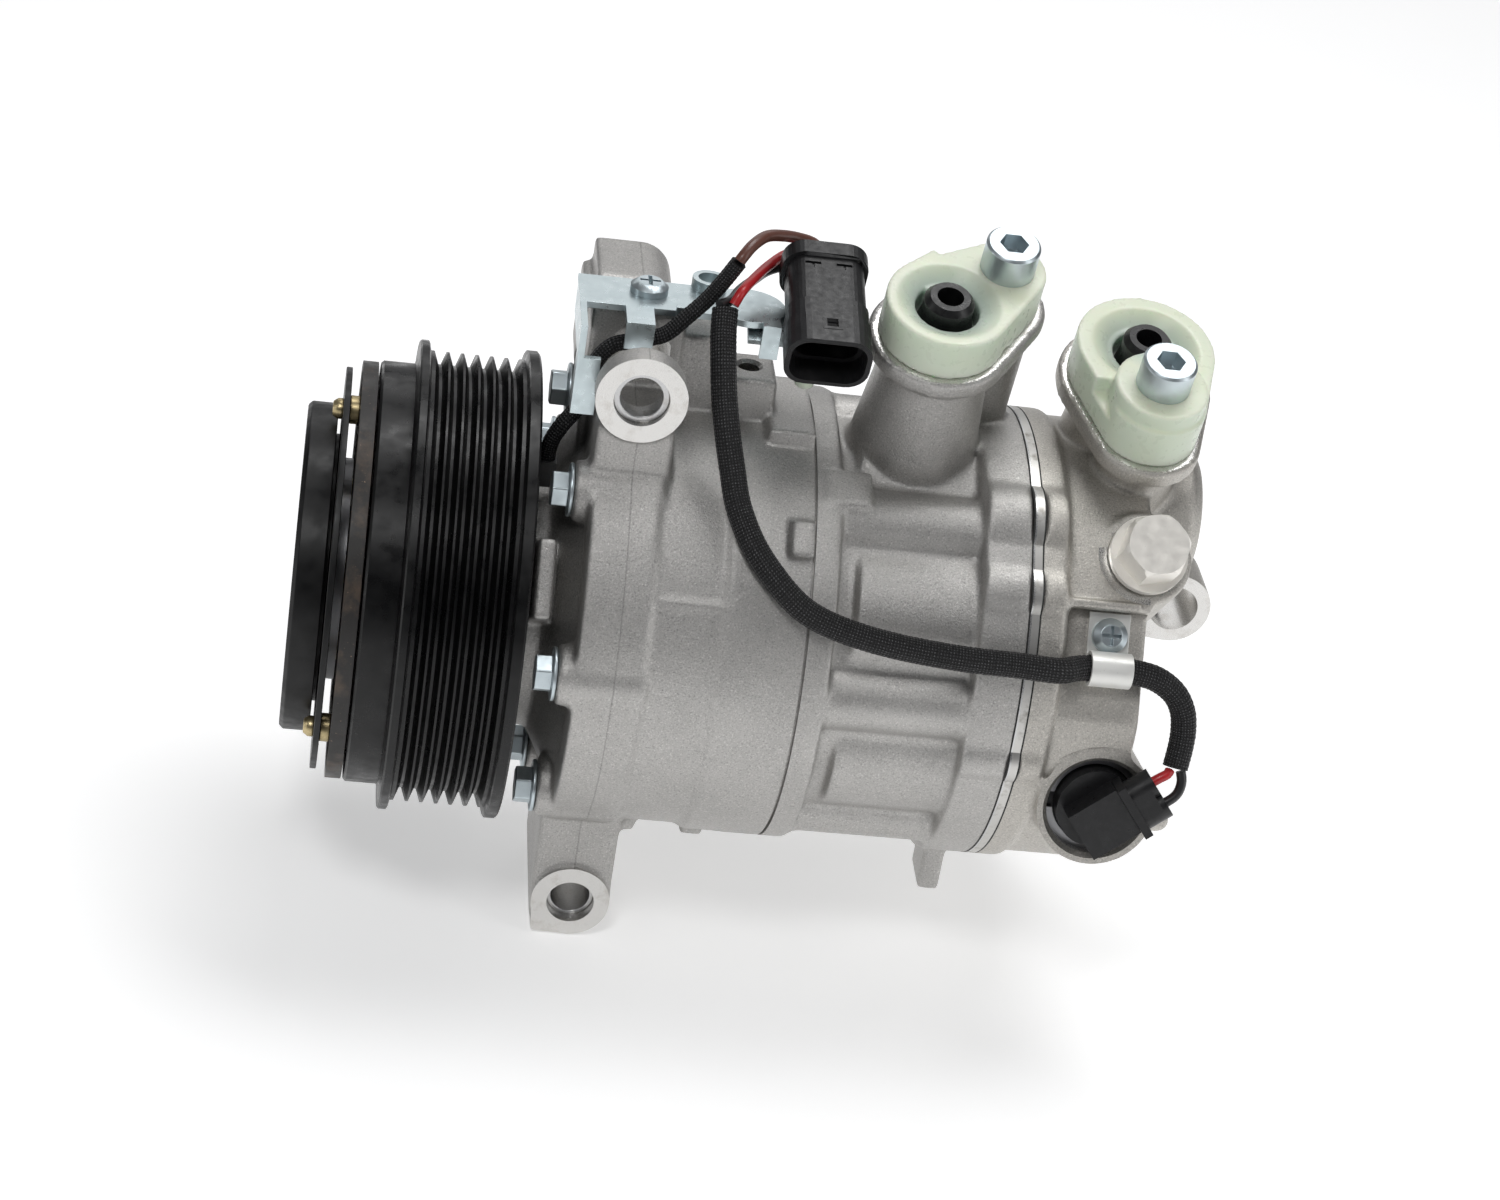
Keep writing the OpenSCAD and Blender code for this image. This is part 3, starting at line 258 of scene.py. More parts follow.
def softened(
    node, width, material, segments=3, body="housing", added=(), cut=(), faceted=False
):
    """The CAD node, with details added and cut, and edges rounded to a width."""
    ob = merged_copy(node + "_detail", node)
    combine(ob, added, "UNION")
    combine(ob, cut, "DIFFERENCE")
    if added or cut:
        apply_modifiers(ob)
    discard([*added, *cut])
    bm = bmesh.new()
    bm.from_mesh(ob.data)
    bmesh.ops.dissolve_limit(bm, angle_limit=FLAT_WITHIN, verts=bm.verts, edges=bm.edges)
    bm.to_mesh(ob.data)
    bm.free()
    if not faceted:
        ob.data.shade_smooth()
    edge = ob.modifiers.new("edge", "BEVEL")
    edge.width = width * MM
    edge.segments = segments
    edge.limit_method = "ANGLE"
    edge.angle_limit = SOFT_ABOVE
    edge.use_clamp_overlap = True
    if not faceted:
        shade = ob.modifiers.new("shade", "WEIGHTED_NORMAL")
        shade.weight = 90
        shade.keep_sharp = True
    finish_piece(ob, node, body, material)


def moulded_skin(node, material, added, cut):
    """The CAD node with details added and cut, then rounded all over like a moulding."""
    ob = merged_copy(node + "_moulding", node)
    combine(ob, added, "UNION")
    combine(ob, cut, "DIFFERENCE")
    round_over(ob, MOULD_GRID, MOULD_ROUNDS)
    discard([*added, *cut])
    ob.data.shade_smooth()
    finish_piece(ob, node, "housing", material)


def cast_skin(node, plugs, cutters, rounds, materials, is_machined):
    """Casing with cast fillets: filled, rounded all over, then machined again."""
    ob = merged_copy(node + "_casting", node)
    combine(ob, plugs, "UNION")
    round_over(ob, CAST_GRID, rounds)
    thin = ob.modifiers.new("thin", "DECIMATE")
    thin.ratio = 0.3
    apply_modifiers(ob)
    combine(ob, cutters, "DIFFERENCE")
    apply_modifiers(ob)
    discard(plugs + cutters)
    finish_piece(ob, node, "housing", *materials)
    mesh = ob.data
    count = len(mesh.polygons)
    centres, normals = np.empty(count * 3), np.empty(count * 3)
    mesh.polygons.foreach_get("center", centres)
    mesh.polygons.foreach_get("normal", normals)
    cut = is_machined(centres.reshape(-1, 3) / MM, normals.reshape(-1, 3))
    mesh.polygons.foreach_set("material_index", cut.astype(np.int32))
    smooth(mesh, 32)


def curve_points(route, step):
    """Smooth points along a route, spaced by about step, all in millimetres."""
    pts = [Vector(p) for p in route]
    ends = [2 * pts[0] - pts[1]] + pts + [2 * pts[-1] - pts[-2]]
    out = []
    for a, b, c, d in zip(ends, ends[1:], ends[2:], ends[3:]):
        count = max(2, round((c - b).length / step))
        for i in range(count):
            t = i / count
            out.append(
                0.5
                * (
                    2 * b
                    + (c - a) * t
                    + (2 * a - 5 * b + 4 * c - d) * t * t
                    + (3 * b - a - 3 * c + d) * t**3
                )
            )
    return out + [pts[-1]]


# The yarns: waves round a tube, then radians to the millimetre in its mesh and its shader
BRAID_TURNS, BRAID_PITCH, WEAVE_PITCH = 6, 2.4, 4.2


def tube(name, route, radius, step, sides=20, braid=0.0):
    """Closed tube along a route, with UVs: u along it and v round it, in millimetres."""
    line = curve_points(route, step)
    bm = bmesh.new()
    uv = bm.loops.layers.uv.new("UVMap")
    side = (line[1] - line[0]).cross(Vector((0.2, 0.1, 1))).normalized()
    rings, along, length = [], [], 0.0
    for j, point in enumerate(line):
        ahead = (line[min(j + 1, len(line) - 1)] - line[max(j - 1, 0)]).normalized()
        side = (side - side.dot(ahead) * ahead).normalized()
        up = side.cross(ahead)
        length += (point - line[j - 1]).length if j else 0.0
        ring = []
        for i in range(sides):
            a = 2 * math.pi * i / sides
            turn = a * BRAID_TURNS
            lift = math.cos(turn + length * BRAID_PITCH) * math.cos(turn - length * BRAID_PITCH)
            r = radius - braid * (0.5 - 0.5 * lift)
            offset = (math.cos(a) * side + math.sin(a) * up) * r
            ring.append(bm.verts.new((point + offset) * MM))
        rings.append(ring)
        along.append(length)
    for j, (a, b) in enumerate(zip(rings, rings[1:])):
        for i in range(sides):
            k = (i + 1) % sides
            face = bm.faces.new((a[i], a[k], b[k], b[i]))
            spots = ((j, i), (j, i + 1), (j + 1, i + 1), (j + 1, i))
            for loop, (row, column) in zip(face.loops, spots):
                loop[uv].uv = (along[row], 2 * math.pi * radius * column / sides)
    bm.faces.new(rings[0])
    bm.faces.new(rings[-1])
    ob = from_bmesh(name, bm)
    smooth(ob.data, 60)
    return ob


# ---------- materials ----------


class Shader:
    """A Principled material and short names for the nodes that feed it."""

    def __init__(self, name, colour, roughness, metallic=0.0, **sockets):
        self.material = bpy.data.materials.new(name)
        self.material.use_nodes = True
        self.tree = self.material.node_tree
        self.main = self.tree.nodes["Principled BSDF"]
        self.main.inputs["Base Color"].default_value = (*colour, 1)
        self.main.inputs["Roughness"].default_value = roughness
        self.main.inputs["Metallic"].default_value = metallic
        for socket, value in sockets.items():
            self.main.inputs[socket.replace("_", " ")].default_value = value

    def node(self, kind, **inputs):
        made = self.tree.nodes.new("ShaderNode" + kind)
        for key, value in inputs.items():
            socket = made.inputs[key.replace("_", " ")]
            if isinstance(value, bpy.types.NodeSocket):
                self.tree.links.new(value, socket)
            else:
                socket.default_value = value
        return made

    def place(self, stretch=(1, 1, 1), uv=False):
        """Coordinates in millimetres, from the frame or from a tube's UVs."""
        source = self.node("TexCoord").outputs["UV" if uv else "Object"]
        unit = 1 if uv else 1 / MM
        scaled = self.node("Mapping", Vector=source)
        scaled.inputs["Scale"].default_value = [s * unit for s in stretch]
        return scaled.outputs["Vector"]

    def noise(self, size, detail=2.0, stretch=(1, 1, 1), sharp=0.5):
        """Noise whose features are about this many millimetres."""
        made = self.node(
            "TexNoise",
            Vector=self.place(stretch),
            Scale=1 / size,
            Detail=detail,
            Roughness=sharp,
        )
        return made.outputs["Fac"]

    def vector(self, operation, a, b=None):
        """The outputs of one vector operation on a socket and a fixed vector."""
        made = self.node("VectorMath", Vector=a)
        made.operation = operation
        if b is not None:
            made.inputs[1].default_value = b
        return made.outputs

    def beside(self, point, axis):
        """Distance from a line, in millimetres."""
        place = self.node("TexCoord").outputs["Object"]
        offset = self.vector("SUBTRACT", place, point)["Vector"]
        across = self.vector("CROSS_PRODUCT", offset, axis)["Vector"]
        return self.math("DIVIDE", self.vector("LENGTH", across)["Value"], MM)

    def remap(self, value, low, high, to_low=0.0, to_high=1.0):
        made = self.node("MapRange", Value=value)
        for key, number in zip(
            ("From Min", "From Max", "To Min", "To Max"), (low, high, to_low, to_high)
        ):
            made.inputs[key].default_value = number
        return made.outputs["Result"]

    def math(self, operation, a, b):
        made = self.tree.nodes.new("ShaderNodeMath")
        made.operation = operation
        for socket, value in zip(made.inputs, (a, b)):
            if isinstance(value, bpy.types.NodeSocket):
                self.tree.links.new(value, socket)
            else:
                socket.default_value = value
        return made.outputs["Value"]

    def tint(self, factor, other):
        """Mixes the base colour so far towards another colour by a factor."""
        base = self.main.inputs["Base Color"]
        mix = self.tree.nodes.new("ShaderNodeMix")
        mix.data_type = "RGBA"
        factor_in, a, b = mix.inputs[0], mix.inputs[6], mix.inputs[7]
        self.tree.links.new(factor, factor_in)
        if base.is_linked:
            self.tree.links.new(base.links[0].from_socket, a)
        else:
            a.default_value = base.default_value
        b.default_value = (*other, 1)
        self.tree.links.new(mix.outputs[2], base)

    def rough(self, noise, to_low, to_high):
        """Lets the roughness follow a noise between two values."""
        result = self.remap(noise, 0.3, 0.7, to_low, to_high)
        self.tree.links.new(result, self.main.inputs["Roughness"])

    def bump(self, value, height, strength=1.0):
        """Adds relief; height in millimetres."""
        made = self.node("Bump", Height=value, Strength=strength, Distance=height * MM)
        normal = self.main.inputs["Normal"]
        if normal.is_linked:
            self.tree.links.new(normal.links[0].from_socket, made.inputs["Normal"])
        self.tree.links.new(made.outputs["Normal"], normal)


def cast_metal(name, colour, shade, parting=None):
    """Bead-blasted casting: grain with dark pits and bright specks painted as glints, painted
    shade in hollow corners, and a parting line at one X.
    """
    s = Shader(name, colour, 0.5, 0.85)
    grain = s.noise(0.42, 3.0, sharp=0.7)
    s.tint(s.remap(s.noise(14, 3.0), 0.4, 0.75, 0, 0.45), [c * 0.8 for c in colour])
    # Bright specks: painted glints of the grain's sparkle; the dark specks below are its pits
    s.tint(s.remap(grain, 0.56, 0.68, 0, 0.75), [min(1, c * 1.5) for c in colour])
    s.tint(s.remap(grain, 0.45, 0.33, 0, 0.7), [c * 0.5 for c in colour])
    # Painted shade: concave corners, where pointiness is low, are darkened towards the shade
    # colour
    corner = s.node("NewGeometry").outputs["Pointiness"]
    s.tint(s.remap(corner, 0.49, 0.44, 0, 0.55), shade)
    s.rough(s.noise(0.8, 2.0), 0.36, 0.54)
    s.bump(s.noise(0.5, 4.0, sharp=0.65), 0.2, 0.8)
    s.bump(s.noise(5, 2.0), 0.3, 0.35)
    if parting is not None:
        x = s.node("SeparateXYZ", Vector=s.place()).outputs["X"]
        away = s.math("ABSOLUTE", s.math("SUBTRACT", x, parting), 0.0)
        s.tint(s.remap(away, 0.06, 0.26, 0.32, 0), shade)
        s.bump(s.remap(away, 0.06, 0.26), 0.1, 0.4)
    return s.material


def cut_metal(name, colour, stretch, roughness=0.24, stain=(0.35, 0.31, 0.26), stained=0.4):
    """Machined face: fine tool marks along one direction and a few faint stains."""
    s = Shader(name, colour, roughness, 1.0)
    marks = s.noise(0.25, 2.0, stretch)
    s.tint(s.remap(s.noise(6, 4.0, sharp=0.7), 0.52, 0.72, 0, stained), stain)
    s.rough(marks, roughness - 0.08, roughness + 0.16)
    s.bump(marks, 0.02, 0.6)
    return s.material


def plated(name, colour, roughness, blotch, metallic=0.95):
    """Zinc or tin plate: faint cloudy sheen with tiny pits and rub marks."""
    s = Shader(name, colour, roughness, metallic)
    s.tint(s.remap(s.noise(4.5, 3.0, sharp=0.5), 0.45, 0.75, 0, 0.35), blotch)
    s.tint(s.remap(s.noise(0.5, 2.0), 0.7, 0.76, 0, 0.35), [c * 0.5 for c in colour])
    s.rough(s.noise(2.4, 3.0), roughness - 0.06, roughness + 0.1)
    s.bump(s.noise(0.9, 2.0), 0.015, 0.5)
    return s.material


def painted(name, colour, roughness, dust, amount=0.25):
    """Black coat with fine orange peel, handling dust and faint rub marks."""
    s = Shader(name, colour, roughness, 0.0, Specular_IOR_Level=0.35)
    s.tint(s.remap(s.noise(9, 5.0, sharp=0.65), 0.5, 0.75, 0, amount), dust)
    s.tint(s.remap(s.noise(0.6, 2.0), 0.7, 0.78, 0, amount), [min(1, c * 3) for c in dust])
    s.rough(s.noise(4, 4.0), roughness - 0.08, roughness + 0.14)
    s.bump(s.noise(0.7, 3.0), 0.012, 0.5)
    return s.material


def moulded(name, colour, roughness, fleck):
    """Rubber or plastic with a fine moulded grain and slight wear."""
    s = Shader(name, colour, roughness, 0.0, Specular_IOR_Level=0.45)
    s.tint(s.remap(s.noise(2.5, 4.0), 0.5, 0.8, 0, 0.5), fleck)
    s.rough(s.noise(1.5, 3.0), roughness - 0.07, roughness + 0.12)
    s.bump(s.noise(0.5, 3.0), 0.04, 0.7)
    return s.material


def natural_nylon():
    """Unfilled nylon, milky ivory, with painted shade: darker green on flanks turned away from
    the ports' axis, and bluish-green in the dish round each plug.
    """
    s = Shader("nylon", (0.80, 0.85, 0.69), 0.3, 0.0, Subsurface_Weight=0.5)
    s.main.inputs["Subsurface Radius"].default_value = (1.0, 1.3, 1.1)
    s.main.inputs["Subsurface Scale"].default_value = 3.5 * MM
    s.tint(s.remap(s.noise(9, 2.0), 0.4, 0.7, 0, 0.5), (0.80, 0.84, 0.62))
    # Painted shade: the flanks, turned away from the ports' axis, are tinted darker green
    axis = direction(PORT_ANGLE)
    up = s.vector("DOT_PRODUCT", s.node("NewGeometry").outputs["Normal"], axis)["Value"]
    s.tint(s.math("MULTIPLY", s.remap(up, 0.9, 0.1), 0.6), (0.60, 0.69, 0.57))
    # Painted shade in each dish: bluish-green within about 13 mm of a plug's axis
    for port in (SUCTION, DISCHARGE):
        away = s.beside(facing(PORT_ANGLE, *port).translation, axis)
        s.tint(s.remap(away, 13, 8.5, 0, 0.7), (0.44, 0.56, 0.50))
    s.rough(s.noise(2.2, 3.0), 0.24, 0.38)
    s.bump(s.noise(1.2, 3.0), 0.03, 0.5)
    return s.material


def braided():
    """Black braided sleeve: a diamond weave with pale flecks on the crossing yarns."""
    s = Shader("braided_sleeve", (0.006, 0.006, 0.0065), 0.5, 0.0, Specular_IOR_Level=0.3)
    split = s.node("SeparateXYZ", Vector=s.place(uv=True))
    waves = []
    for lean in ("ADD", "SUBTRACT"):
        phase = s.math(lean, split.outputs["X"], split.outputs["Y"])
        waves.append(s.math("SINE", s.math("MULTIPLY", phase, WEAVE_PITCH), 0.0))
    weave = s.math("MULTIPLY", *waves)
    speck = s.noise(0.45, 2.0)
    s.tint(s.remap(weave, 0.1, 0.9, 0, 0.8), (0.03, 0.03, 0.0315))
    pale = s.math("MULTIPLY", s.remap(weave, 0.3, 0.9), s.remap(speck, 0.44, 0.6))
    s.tint(pale, (0.13, 0.13, 0.135))
    s.bump(weave, 0.25, 0.8)
    s.bump(speck, 0.08, 0.6)
    return s.material


def wire_skin(name, colour):
    s = Shader(name, colour, 0.36, 0.0, Coat_Weight=0.15)
    s.tint(s.remap(s.noise(1.6, 3.0), 0.5, 0.8, 0, 0.5), [c * 0.6 for c in colour])
    s.bump(s.noise(0.8, 2.0), 0.03, 0.5)
    return s.material


# Colours are linear. The front housing's die parts in the plane of the lower lug's bore.
grey_cast = cast_metal("grey_casting", (0.48, 0.47, 0.455), (0.1, 0.095, 0.09), LOWER_LUG[0])
warm_cast = cast_metal("warm_casting", (0.52, 0.50, 0.465), (0.12, 0.11, 0.095))
lug_cut = cut_metal("machined_lug", (0.70, 0.69, 0.67), (1, 1, 6))
plate_cut = cut_metal("ground_plate", (0.60, 0.59, 0.57), (1, 6, 6), 0.38, (0.2, 0.18, 0.15), 0.8)
turned_steel = cut_metal("turned_steel", (0.58, 0.58, 0.58), (6, 1, 1), 0.28)
dark_steel = cut_metal("forged_steel", (0.34, 0.34, 0.35), (5, 1, 1), 0.36)
bearing_steel = cut_metal("bearing_steel", (0.66, 0.66, 0.66), (6, 1, 1), 0.2)
blue_zinc = plated("blue_zinc", (0.58, 0.65, 0.68), 0.36, (0.44, 0.51, 0.55))
zinc_sheet = plated("zinc_sheet", (0.58, 0.66, 0.68), 0.3, (0.46, 0.54, 0.57), 0.92)
tin_plate = plated("tin_plate", (0.86, 0.86, 0.83), 0.4, (0.76, 0.76, 0.73), 0.35)
gold_zinc = plated("gold_zinc", (0.56, 0.46, 0.26), 0.36, (0.36, 0.28, 0.16))
brass = plated("brass", (0.72, 0.58, 0.32), 0.3, (0.55, 0.42, 0.22))
plug_metal = plated("plug_metal", (0.95, 0.92, 0.86), 0.36, (0.87, 0.84, 0.78), 0.45)
pulley_paint = painted("pulley_paint", (0.003, 0.003, 0.0033), 0.3, (0.012, 0.012, 0.013), 0.2)
cover_paint = painted("cover_paint", (0.003, 0.003, 0.0033), 0.38, (0.01, 0.01, 0.011), 0.2)
plate_paint = painted("plate_paint", (0.03, 0.028, 0.027), 0.42, (0.16, 0.11, 0.075), 0.6)
coil_paint = painted("coil_paint", (0.05, 0.05, 0.05), 0.4, (0.12, 0.12, 0.12))
rubber = moulded("rubber", (0.008, 0.008, 0.0085), 0.32, (0.02, 0.02, 0.021))
gasket_skin = moulded("gasket", (0.02, 0.02, 0.02), 0.7, (0.06, 0.06, 0.055))
connector_skin = moulded("connector", (0.009, 0.009, 0.01), 0.4, (0.02, 0.02, 0.021))
valve_skin = moulded("valve_head", (0.01, 0.01, 0.011), 0.34, (0.024, 0.024, 0.026))
winding_skin = moulded("winding", (0.10, 0.06, 0.03), 0.5, (0.2, 0.13, 0.07))
brown_seal = moulded("brown_seal", (0.16, 0.06, 0.035), 0.5, (0.25, 0.12, 0.07))
nylon = natural_nylon()
sleeve_skin = braided()
brown_skin = wire_skin("brown_wire", (0.13, 0.05, 0.035))
red_skin = wire_skin("red_wire", (0.52, 0.02, 0.025))
black_skin = wire_skin("black_wire", (0.02, 0.02, 0.021))

# CAD nodes that keep their own shape, and the material that each gets
KEPT = {
    "valve_plate": plate_cut,
    "front_gasket": gasket_skin,
    "rear_gasket": gasket_skin,
    "suction_reeds": turned_steel,
    "discharge_reeds": turned_steel,
    "body_seal": rubber,
    "valve_body": brass,
    "valve_seals": rubber,
    "coil_shell": coil_paint,
    "coil_winding": winding_skin,
    "snap_rings": dark_steel,
    "bearing_inner_ring": bearing_steel,
    "bearing_outer_ring": bearing_steel,
    "bearing_seals": brown_seal,
    "bearing_balls": bearing_steel,
    "shaft_seal": rubber,
    "pistons": plug_metal,
    "piston_shoes": bearing_steel,
    "front_needle_bearing": bearing_steel,
    "rear_needle_bearing": bearing_steel,
    "main_shaft": turned_steel,
    "lug_plate": dark_steel,
    "swash_plate": dark_steel,
    "hinge_pin": turned_steel,
    "swash_spring": dark_steel,
    "clutch_hub": dark_steel,
    "thrust_rollers": bearing_steel,
    "valve_plunger": turned_steel,
    "rotor_pulley": pulley_paint,
    "connector_pins": brass,
    "relief_washer": turned_steel,
}
for node, material in KEPT.items():
    for slot in nodes[node].material_slots:
        slot.material = material

# ---------- castings ----------


def near_axis(points, origin, axis, radius):
    """True where a point lies within a radius of an axis, all in millimetres."""
    away = points - np.array(origin)
    along = away @ np.array(axis)
    return np.linalg.norm(away - np.outer(along, axis), axis=1) < radius


def in_spigot(points):
    return near_axis(points, (0, 0, 0), (1, 0, 0), SPIGOT_R)


def in_lug(points, lug, radius):
    return near_axis(points, (lug[0], 0, lug[1]), (0, 1, 0), radius)


def in_boss(points, angle, place, radius):
    origin = facing(angle, *place).translation / MM
    return near_axis(points, origin, direction(angle), radius)


def outward(vectors, angle):
    """How far vectors reach in the direction that an angle faces."""
    return vectors @ np.array(direction(angle))


# How near to a cut counts as on it, and the least cosine of a face that looks along an axis
NEAR, SQUARE_ON = 0.1, 0.9


def port_face(at, normal, port):
    on_top = outward(at, PORT_ANGLE) > port[2] - 1.2 * NEAR
    return on_top & (outward(normal, PORT_ANGLE) > SQUARE_ON)


def front_machined(at, normal):
    """True for each face that a cutter left on the front housing."""
    faces = (np.abs(at[:, 1] - LUG_FACE_Y) < 2 * NEAR) & (normal[:, 1] < -SQUARE_ON)
    bores = in_lug(at, UPPER_LUG, 7.6) | in_lug(at, LOWER_LUG, 7.0)
    thread = near_axis(at, (*PILLAR_HOLE, 0), (0, 0, 1), 2.9) & (at[:, 2] > 50)
    nose = at[:, 0] < 13.5
    seam = (at[:, 0] > FRONT_SEAM - NEAR) & in_spigot(at)
    return faces | bores | thread | nose | seam


def block_machined(at, normal):
    """True for each face that a cutter left on the cylinder block."""
    ends = (at[:, 0] > BLOCK_END - NEAR) | (at[:, 0] < FRONT_SEAM + NEAR)
    return port_face(at, normal, SUCTION) | (ends & in_spigot(at))


def rear_machined(at, normal):
    """True for each face that a cutter left on the rear housing."""
    port = port_face(at, normal, DISCHARGE) & (at[:, 2] > 50)
    lug = in_lug(at, REAR_LUG, 9.6) & (np.abs(normal[:, 1]) > SQUARE_ON)
    lug |= in_lug(at, REAR_LUG, 7.2)
    mouth = in_boss(at, VALVE_ANGLE, VALVE, 12.2) & (at[:, 1] < -30)
    mouth &= outward(normal, VALVE_ANGLE) < 0.5
    seat = in_boss(at, RELIEF_ANGLE, RELIEF, 9.5) & (at[:, 2] > 20)
    seat &= (outward(at, RELIEF_ANGLE) > 30) & (outward(at, RELIEF_ANGLE) < RELIEF[2] + 0.3)
    seam = (at[:, 0] < REAR_X + NEAR) & in_spigot(at)
    return port | lug | mouth | seat | seam


def bolt_holes(x0, x1, r):
    places = round_shaft(BOLT_COUNT, BOLT_ANGLE)
    out = Matrix.Translation((0, -BOLT_CIRCLE * MM, 0))
    return [rod("hole", p @ out @ ALONG_X, x0, x1, r, sides=32) for p in places]


def front_casting():
    """Fills the bores and the faced sides, then cuts the lugs, the bore and the seam."""
    spare = 1.6
    plugs = [
        bar("fill", -21.5, 34, 13.5),
        bar("fill", 33.5, FRONT_SEAM + 1.5, 47),
        y_hole("fill", UPPER_LUG, LUG_FACE_Y - spare, LUG_FACE_Y + 7, 10.75),
        y_hole("fill", UPPER_LUG, -5.3, 31.8, 7),
        y_hole("fill", LOWER_LUG, LUG_FACE_Y - spare, 11, 9.9),
        block("fill", (27, LUG_FACE_Y - spare, -81.7), (LOWER_LUG[0], 11, LOWER_LUG[1])),
        z_hole("fill", PILLAR_HOLE, 45, 65.9, 4, sides=96),
        bar("fill", 60, FRONT_SEAM + 1.5, 55.9),
    ]
    lug_faces = [
        block("cut", (20, -40, 56), (60, LUG_FACE_Y, 95)),
        block("cut", (20, -40, -95), (60, LUG_FACE_Y, -60)),
    ]
    stepped_bore = ((-30, 6, 8.8), (5, 16, 13), (15, 35, 12), (34, 90, CHAMBER_R))
    lug_bores = [
        y_hole("cut", UPPER_LUG, LUG_FACE_Y - 5, -12, 6.5),
        y_hole("cut", UPPER_LUG, -20, 45, 5.2),
        y_hole("cut", LOWER_LUG, LUG_FACE_Y - 5, -10, 5.9),
        y_hole("cut", LOWER_LUG, -20, 20, 5.2),
    ]
    cutters = [
        *lug_faces,
        block("cut", (FRONT_SEAM, -80, -80), (95, 80, 80)),
        *[bar("cut", x0, x1, r) for x0, x1, r in stepped_bore],
        *lug_bores,
        ring_tool(FRONT_SEAM - SEAM_GAP, FRONT_SEAM + 1, GROOVE_OUT, GROOVE_R),
        z_hole("cut", PILLAR_HOLE, 54, 70, 2.5),
        z_hole("cut", PILLAR_HOLE, 65.2, 66.6, 2.5, 3.9),
        z_hole("cut", BRACKET_HOLE, 75, 85, 2.5),
        *bolt_holes(20, 90, BOLT_HOLE_R),
    ]
    cast_skin("front_housing", plugs, cutters, 20, (grey_cast, lug_cut), front_machined)


def block_casting():
    """Fills the bores and the suction port, then cuts both ends, the port and the bores."""
    port = facing(PORT_ANGLE)
    throat = Matrix.Translation(Vector((*SUCTION[:2], 0)) * MM)
    screw = Matrix.Translation(Vector((*SUCTION_SCREW, 0)) * MM)
    plugs = [
        bar("fill", FRONT_SEAM - 1.5, BLOCK_END + 1.5, 50),
        bar("fill", FRONT_SEAM - 1.5, FRONT_SEAM + 2, 56),
        bar("fill", BLOCK_END - 2, BLOCK_END + 1.5, 56),
        rod("fill", port @ throat, 45, SUCTION[2] + 1, 12),
        rod("fill", port @ screw, 50, SUCTION[2] + 1, 8),
    ]
    between = round_shaft(BOLT_COUNT, BOLT_ANGLE + 180 / BOLT_COUNT)
    out = Matrix.Translation((0, -CYLINDER_CIRCLE * MM, 0))
    cutters = [
        block("cut", (60, -80, -80), (FRONT_SEAM, 80, 80)),
        block("cut", (BLOCK_END, -80, -80), (150, 80, 80)),
        slab("cut", port, (80, -40, SUCTION[2]), (140, 60, SUCTION[2] + 12)),
        ring_tool(FRONT_SEAM - 1, FRONT_SEAM + SEAM_GAP, GROOVE_OUT, GROOVE_R),
        bar("cut", 70, 92, CHAMBER_R),
        bar("cut", 85, 140, BLOCK_BORE_R),
        rod("cut", port @ throat, 50, 95, 8.5, sides=48),
        rod("cut", port @ screw, SUCTION[2] - 22, 95, 4, sides=32),
        *bolt_holes(70, 140, BOLT_HOLE_R),
        *[rod("cut", p @ out @ ALONG_X, 91, 140, CYLINDER_R, sides=64) for p in between],
    ]
    cast_skin("cylinder_block", plugs, cutters, 20, (grey_cast, lug_cut), block_machined)


def rear_casting():
    """Fills the ports and the boss, then cuts every face and bore that is machined."""
    port = facing(PORT_ANGLE)
    throat = Matrix.Translation(Vector((*DISCHARGE[:2], 0)) * MM)
    screw = Matrix.Translation(Vector((*DISCHARGE_SCREW, 0)) * MM)
    seat = facing(RELIEF_ANGLE, *RELIEF)
    pad = facing(PAD_ANGLE, *PAD)
    mouth = facing(VALVE_ANGLE, *VALVE)
    plugs = [
        bar("fill", REAR_X - 1.5, 152.5, 50),
        bar("fill", REAR_X - 1.5, REAR_X + 2, 56),
        rod("fill", port @ throat, 45, DISCHARGE[2] + 1, 12),
        rod("fill", port @ screw, 42, DISCHARGE[2] + 1, 8),
        y_hole("fill", REAR_LUG, -9.5, 8.5, 9.3),
        rod("fill", seat, -17, -0.05, 8),
        rod("fill", mouth, -50, 1.2, 14.4),
    ]
    beside_lug = [
        block("cut", (166, -30, 3), (190, -8, 20)),
        block("cut", (166, 7, 3), (190, 24, 18)),
        y_hole("cut", REAR_LUG, -24, -8, 9.5),
        y_hole("cut", REAR_LUG, 7, 24, 9.5),
    ]
    valve_bore = [
        rod("cut", mouth, 0, 12, 16),
        rod("cut", mouth, -9, 11, 11.8),
        rod("cut", mouth, -45, 0, 10, sides=64),
        rod("cut", mouth, -69, -39, 8, sides=64),
        rod("cut", mouth, -5, -3.6, 12.8, sides=64),
        rod("cut", mouth, -1.2, 0.6, 11.8, 13.4, sides=64),
    ]
    cutters = [
        block("cut", (110, -80, -80), (REAR_X, 80, 80)),
        slab("cut", port, (130, -30, DISCHARGE[2]), (180, 60, DISCHARGE[2] + 12)),
        *beside_lug,
        slab("cut", pad, (-10.5, -21.2, 0), (13.5, 5.8, 20)),
        rod("cut", seat, 0, 12, 11.6),
        rod("cut", seat, -16, 2, 6, sides=48),
        rod("cut", pad, -9, 5, 2, sides=32),
        rod("cut", port @ throat, 20, 95, 7.5, sides=48),
        rod("cut", port @ screw, DISCHARGE[2] - 24, 95, 4, sides=32),
        y_hole("cut", REAR_LUG, -20, 20, 6),
        *valve_bore,
        bar("cut", REAR_X - 5, 150, 20),
        ring_tool(REAR_X - 5, 152, 44, 25),
        *bolt_holes(120, 148, BOLT_THREAD_R),
    ]
    cast_skin("rear_housing", plugs, cutters, 18, (warm_cast, lug_cut), rear_machined)


front_casting()
block_casting()
rear_casting()

# ---------- fasteners, caps and brackets ----------

CAP_TOP = 11
CAP_LEAN = Matrix.Rotation(math.radians(41.8), 4, "Z")


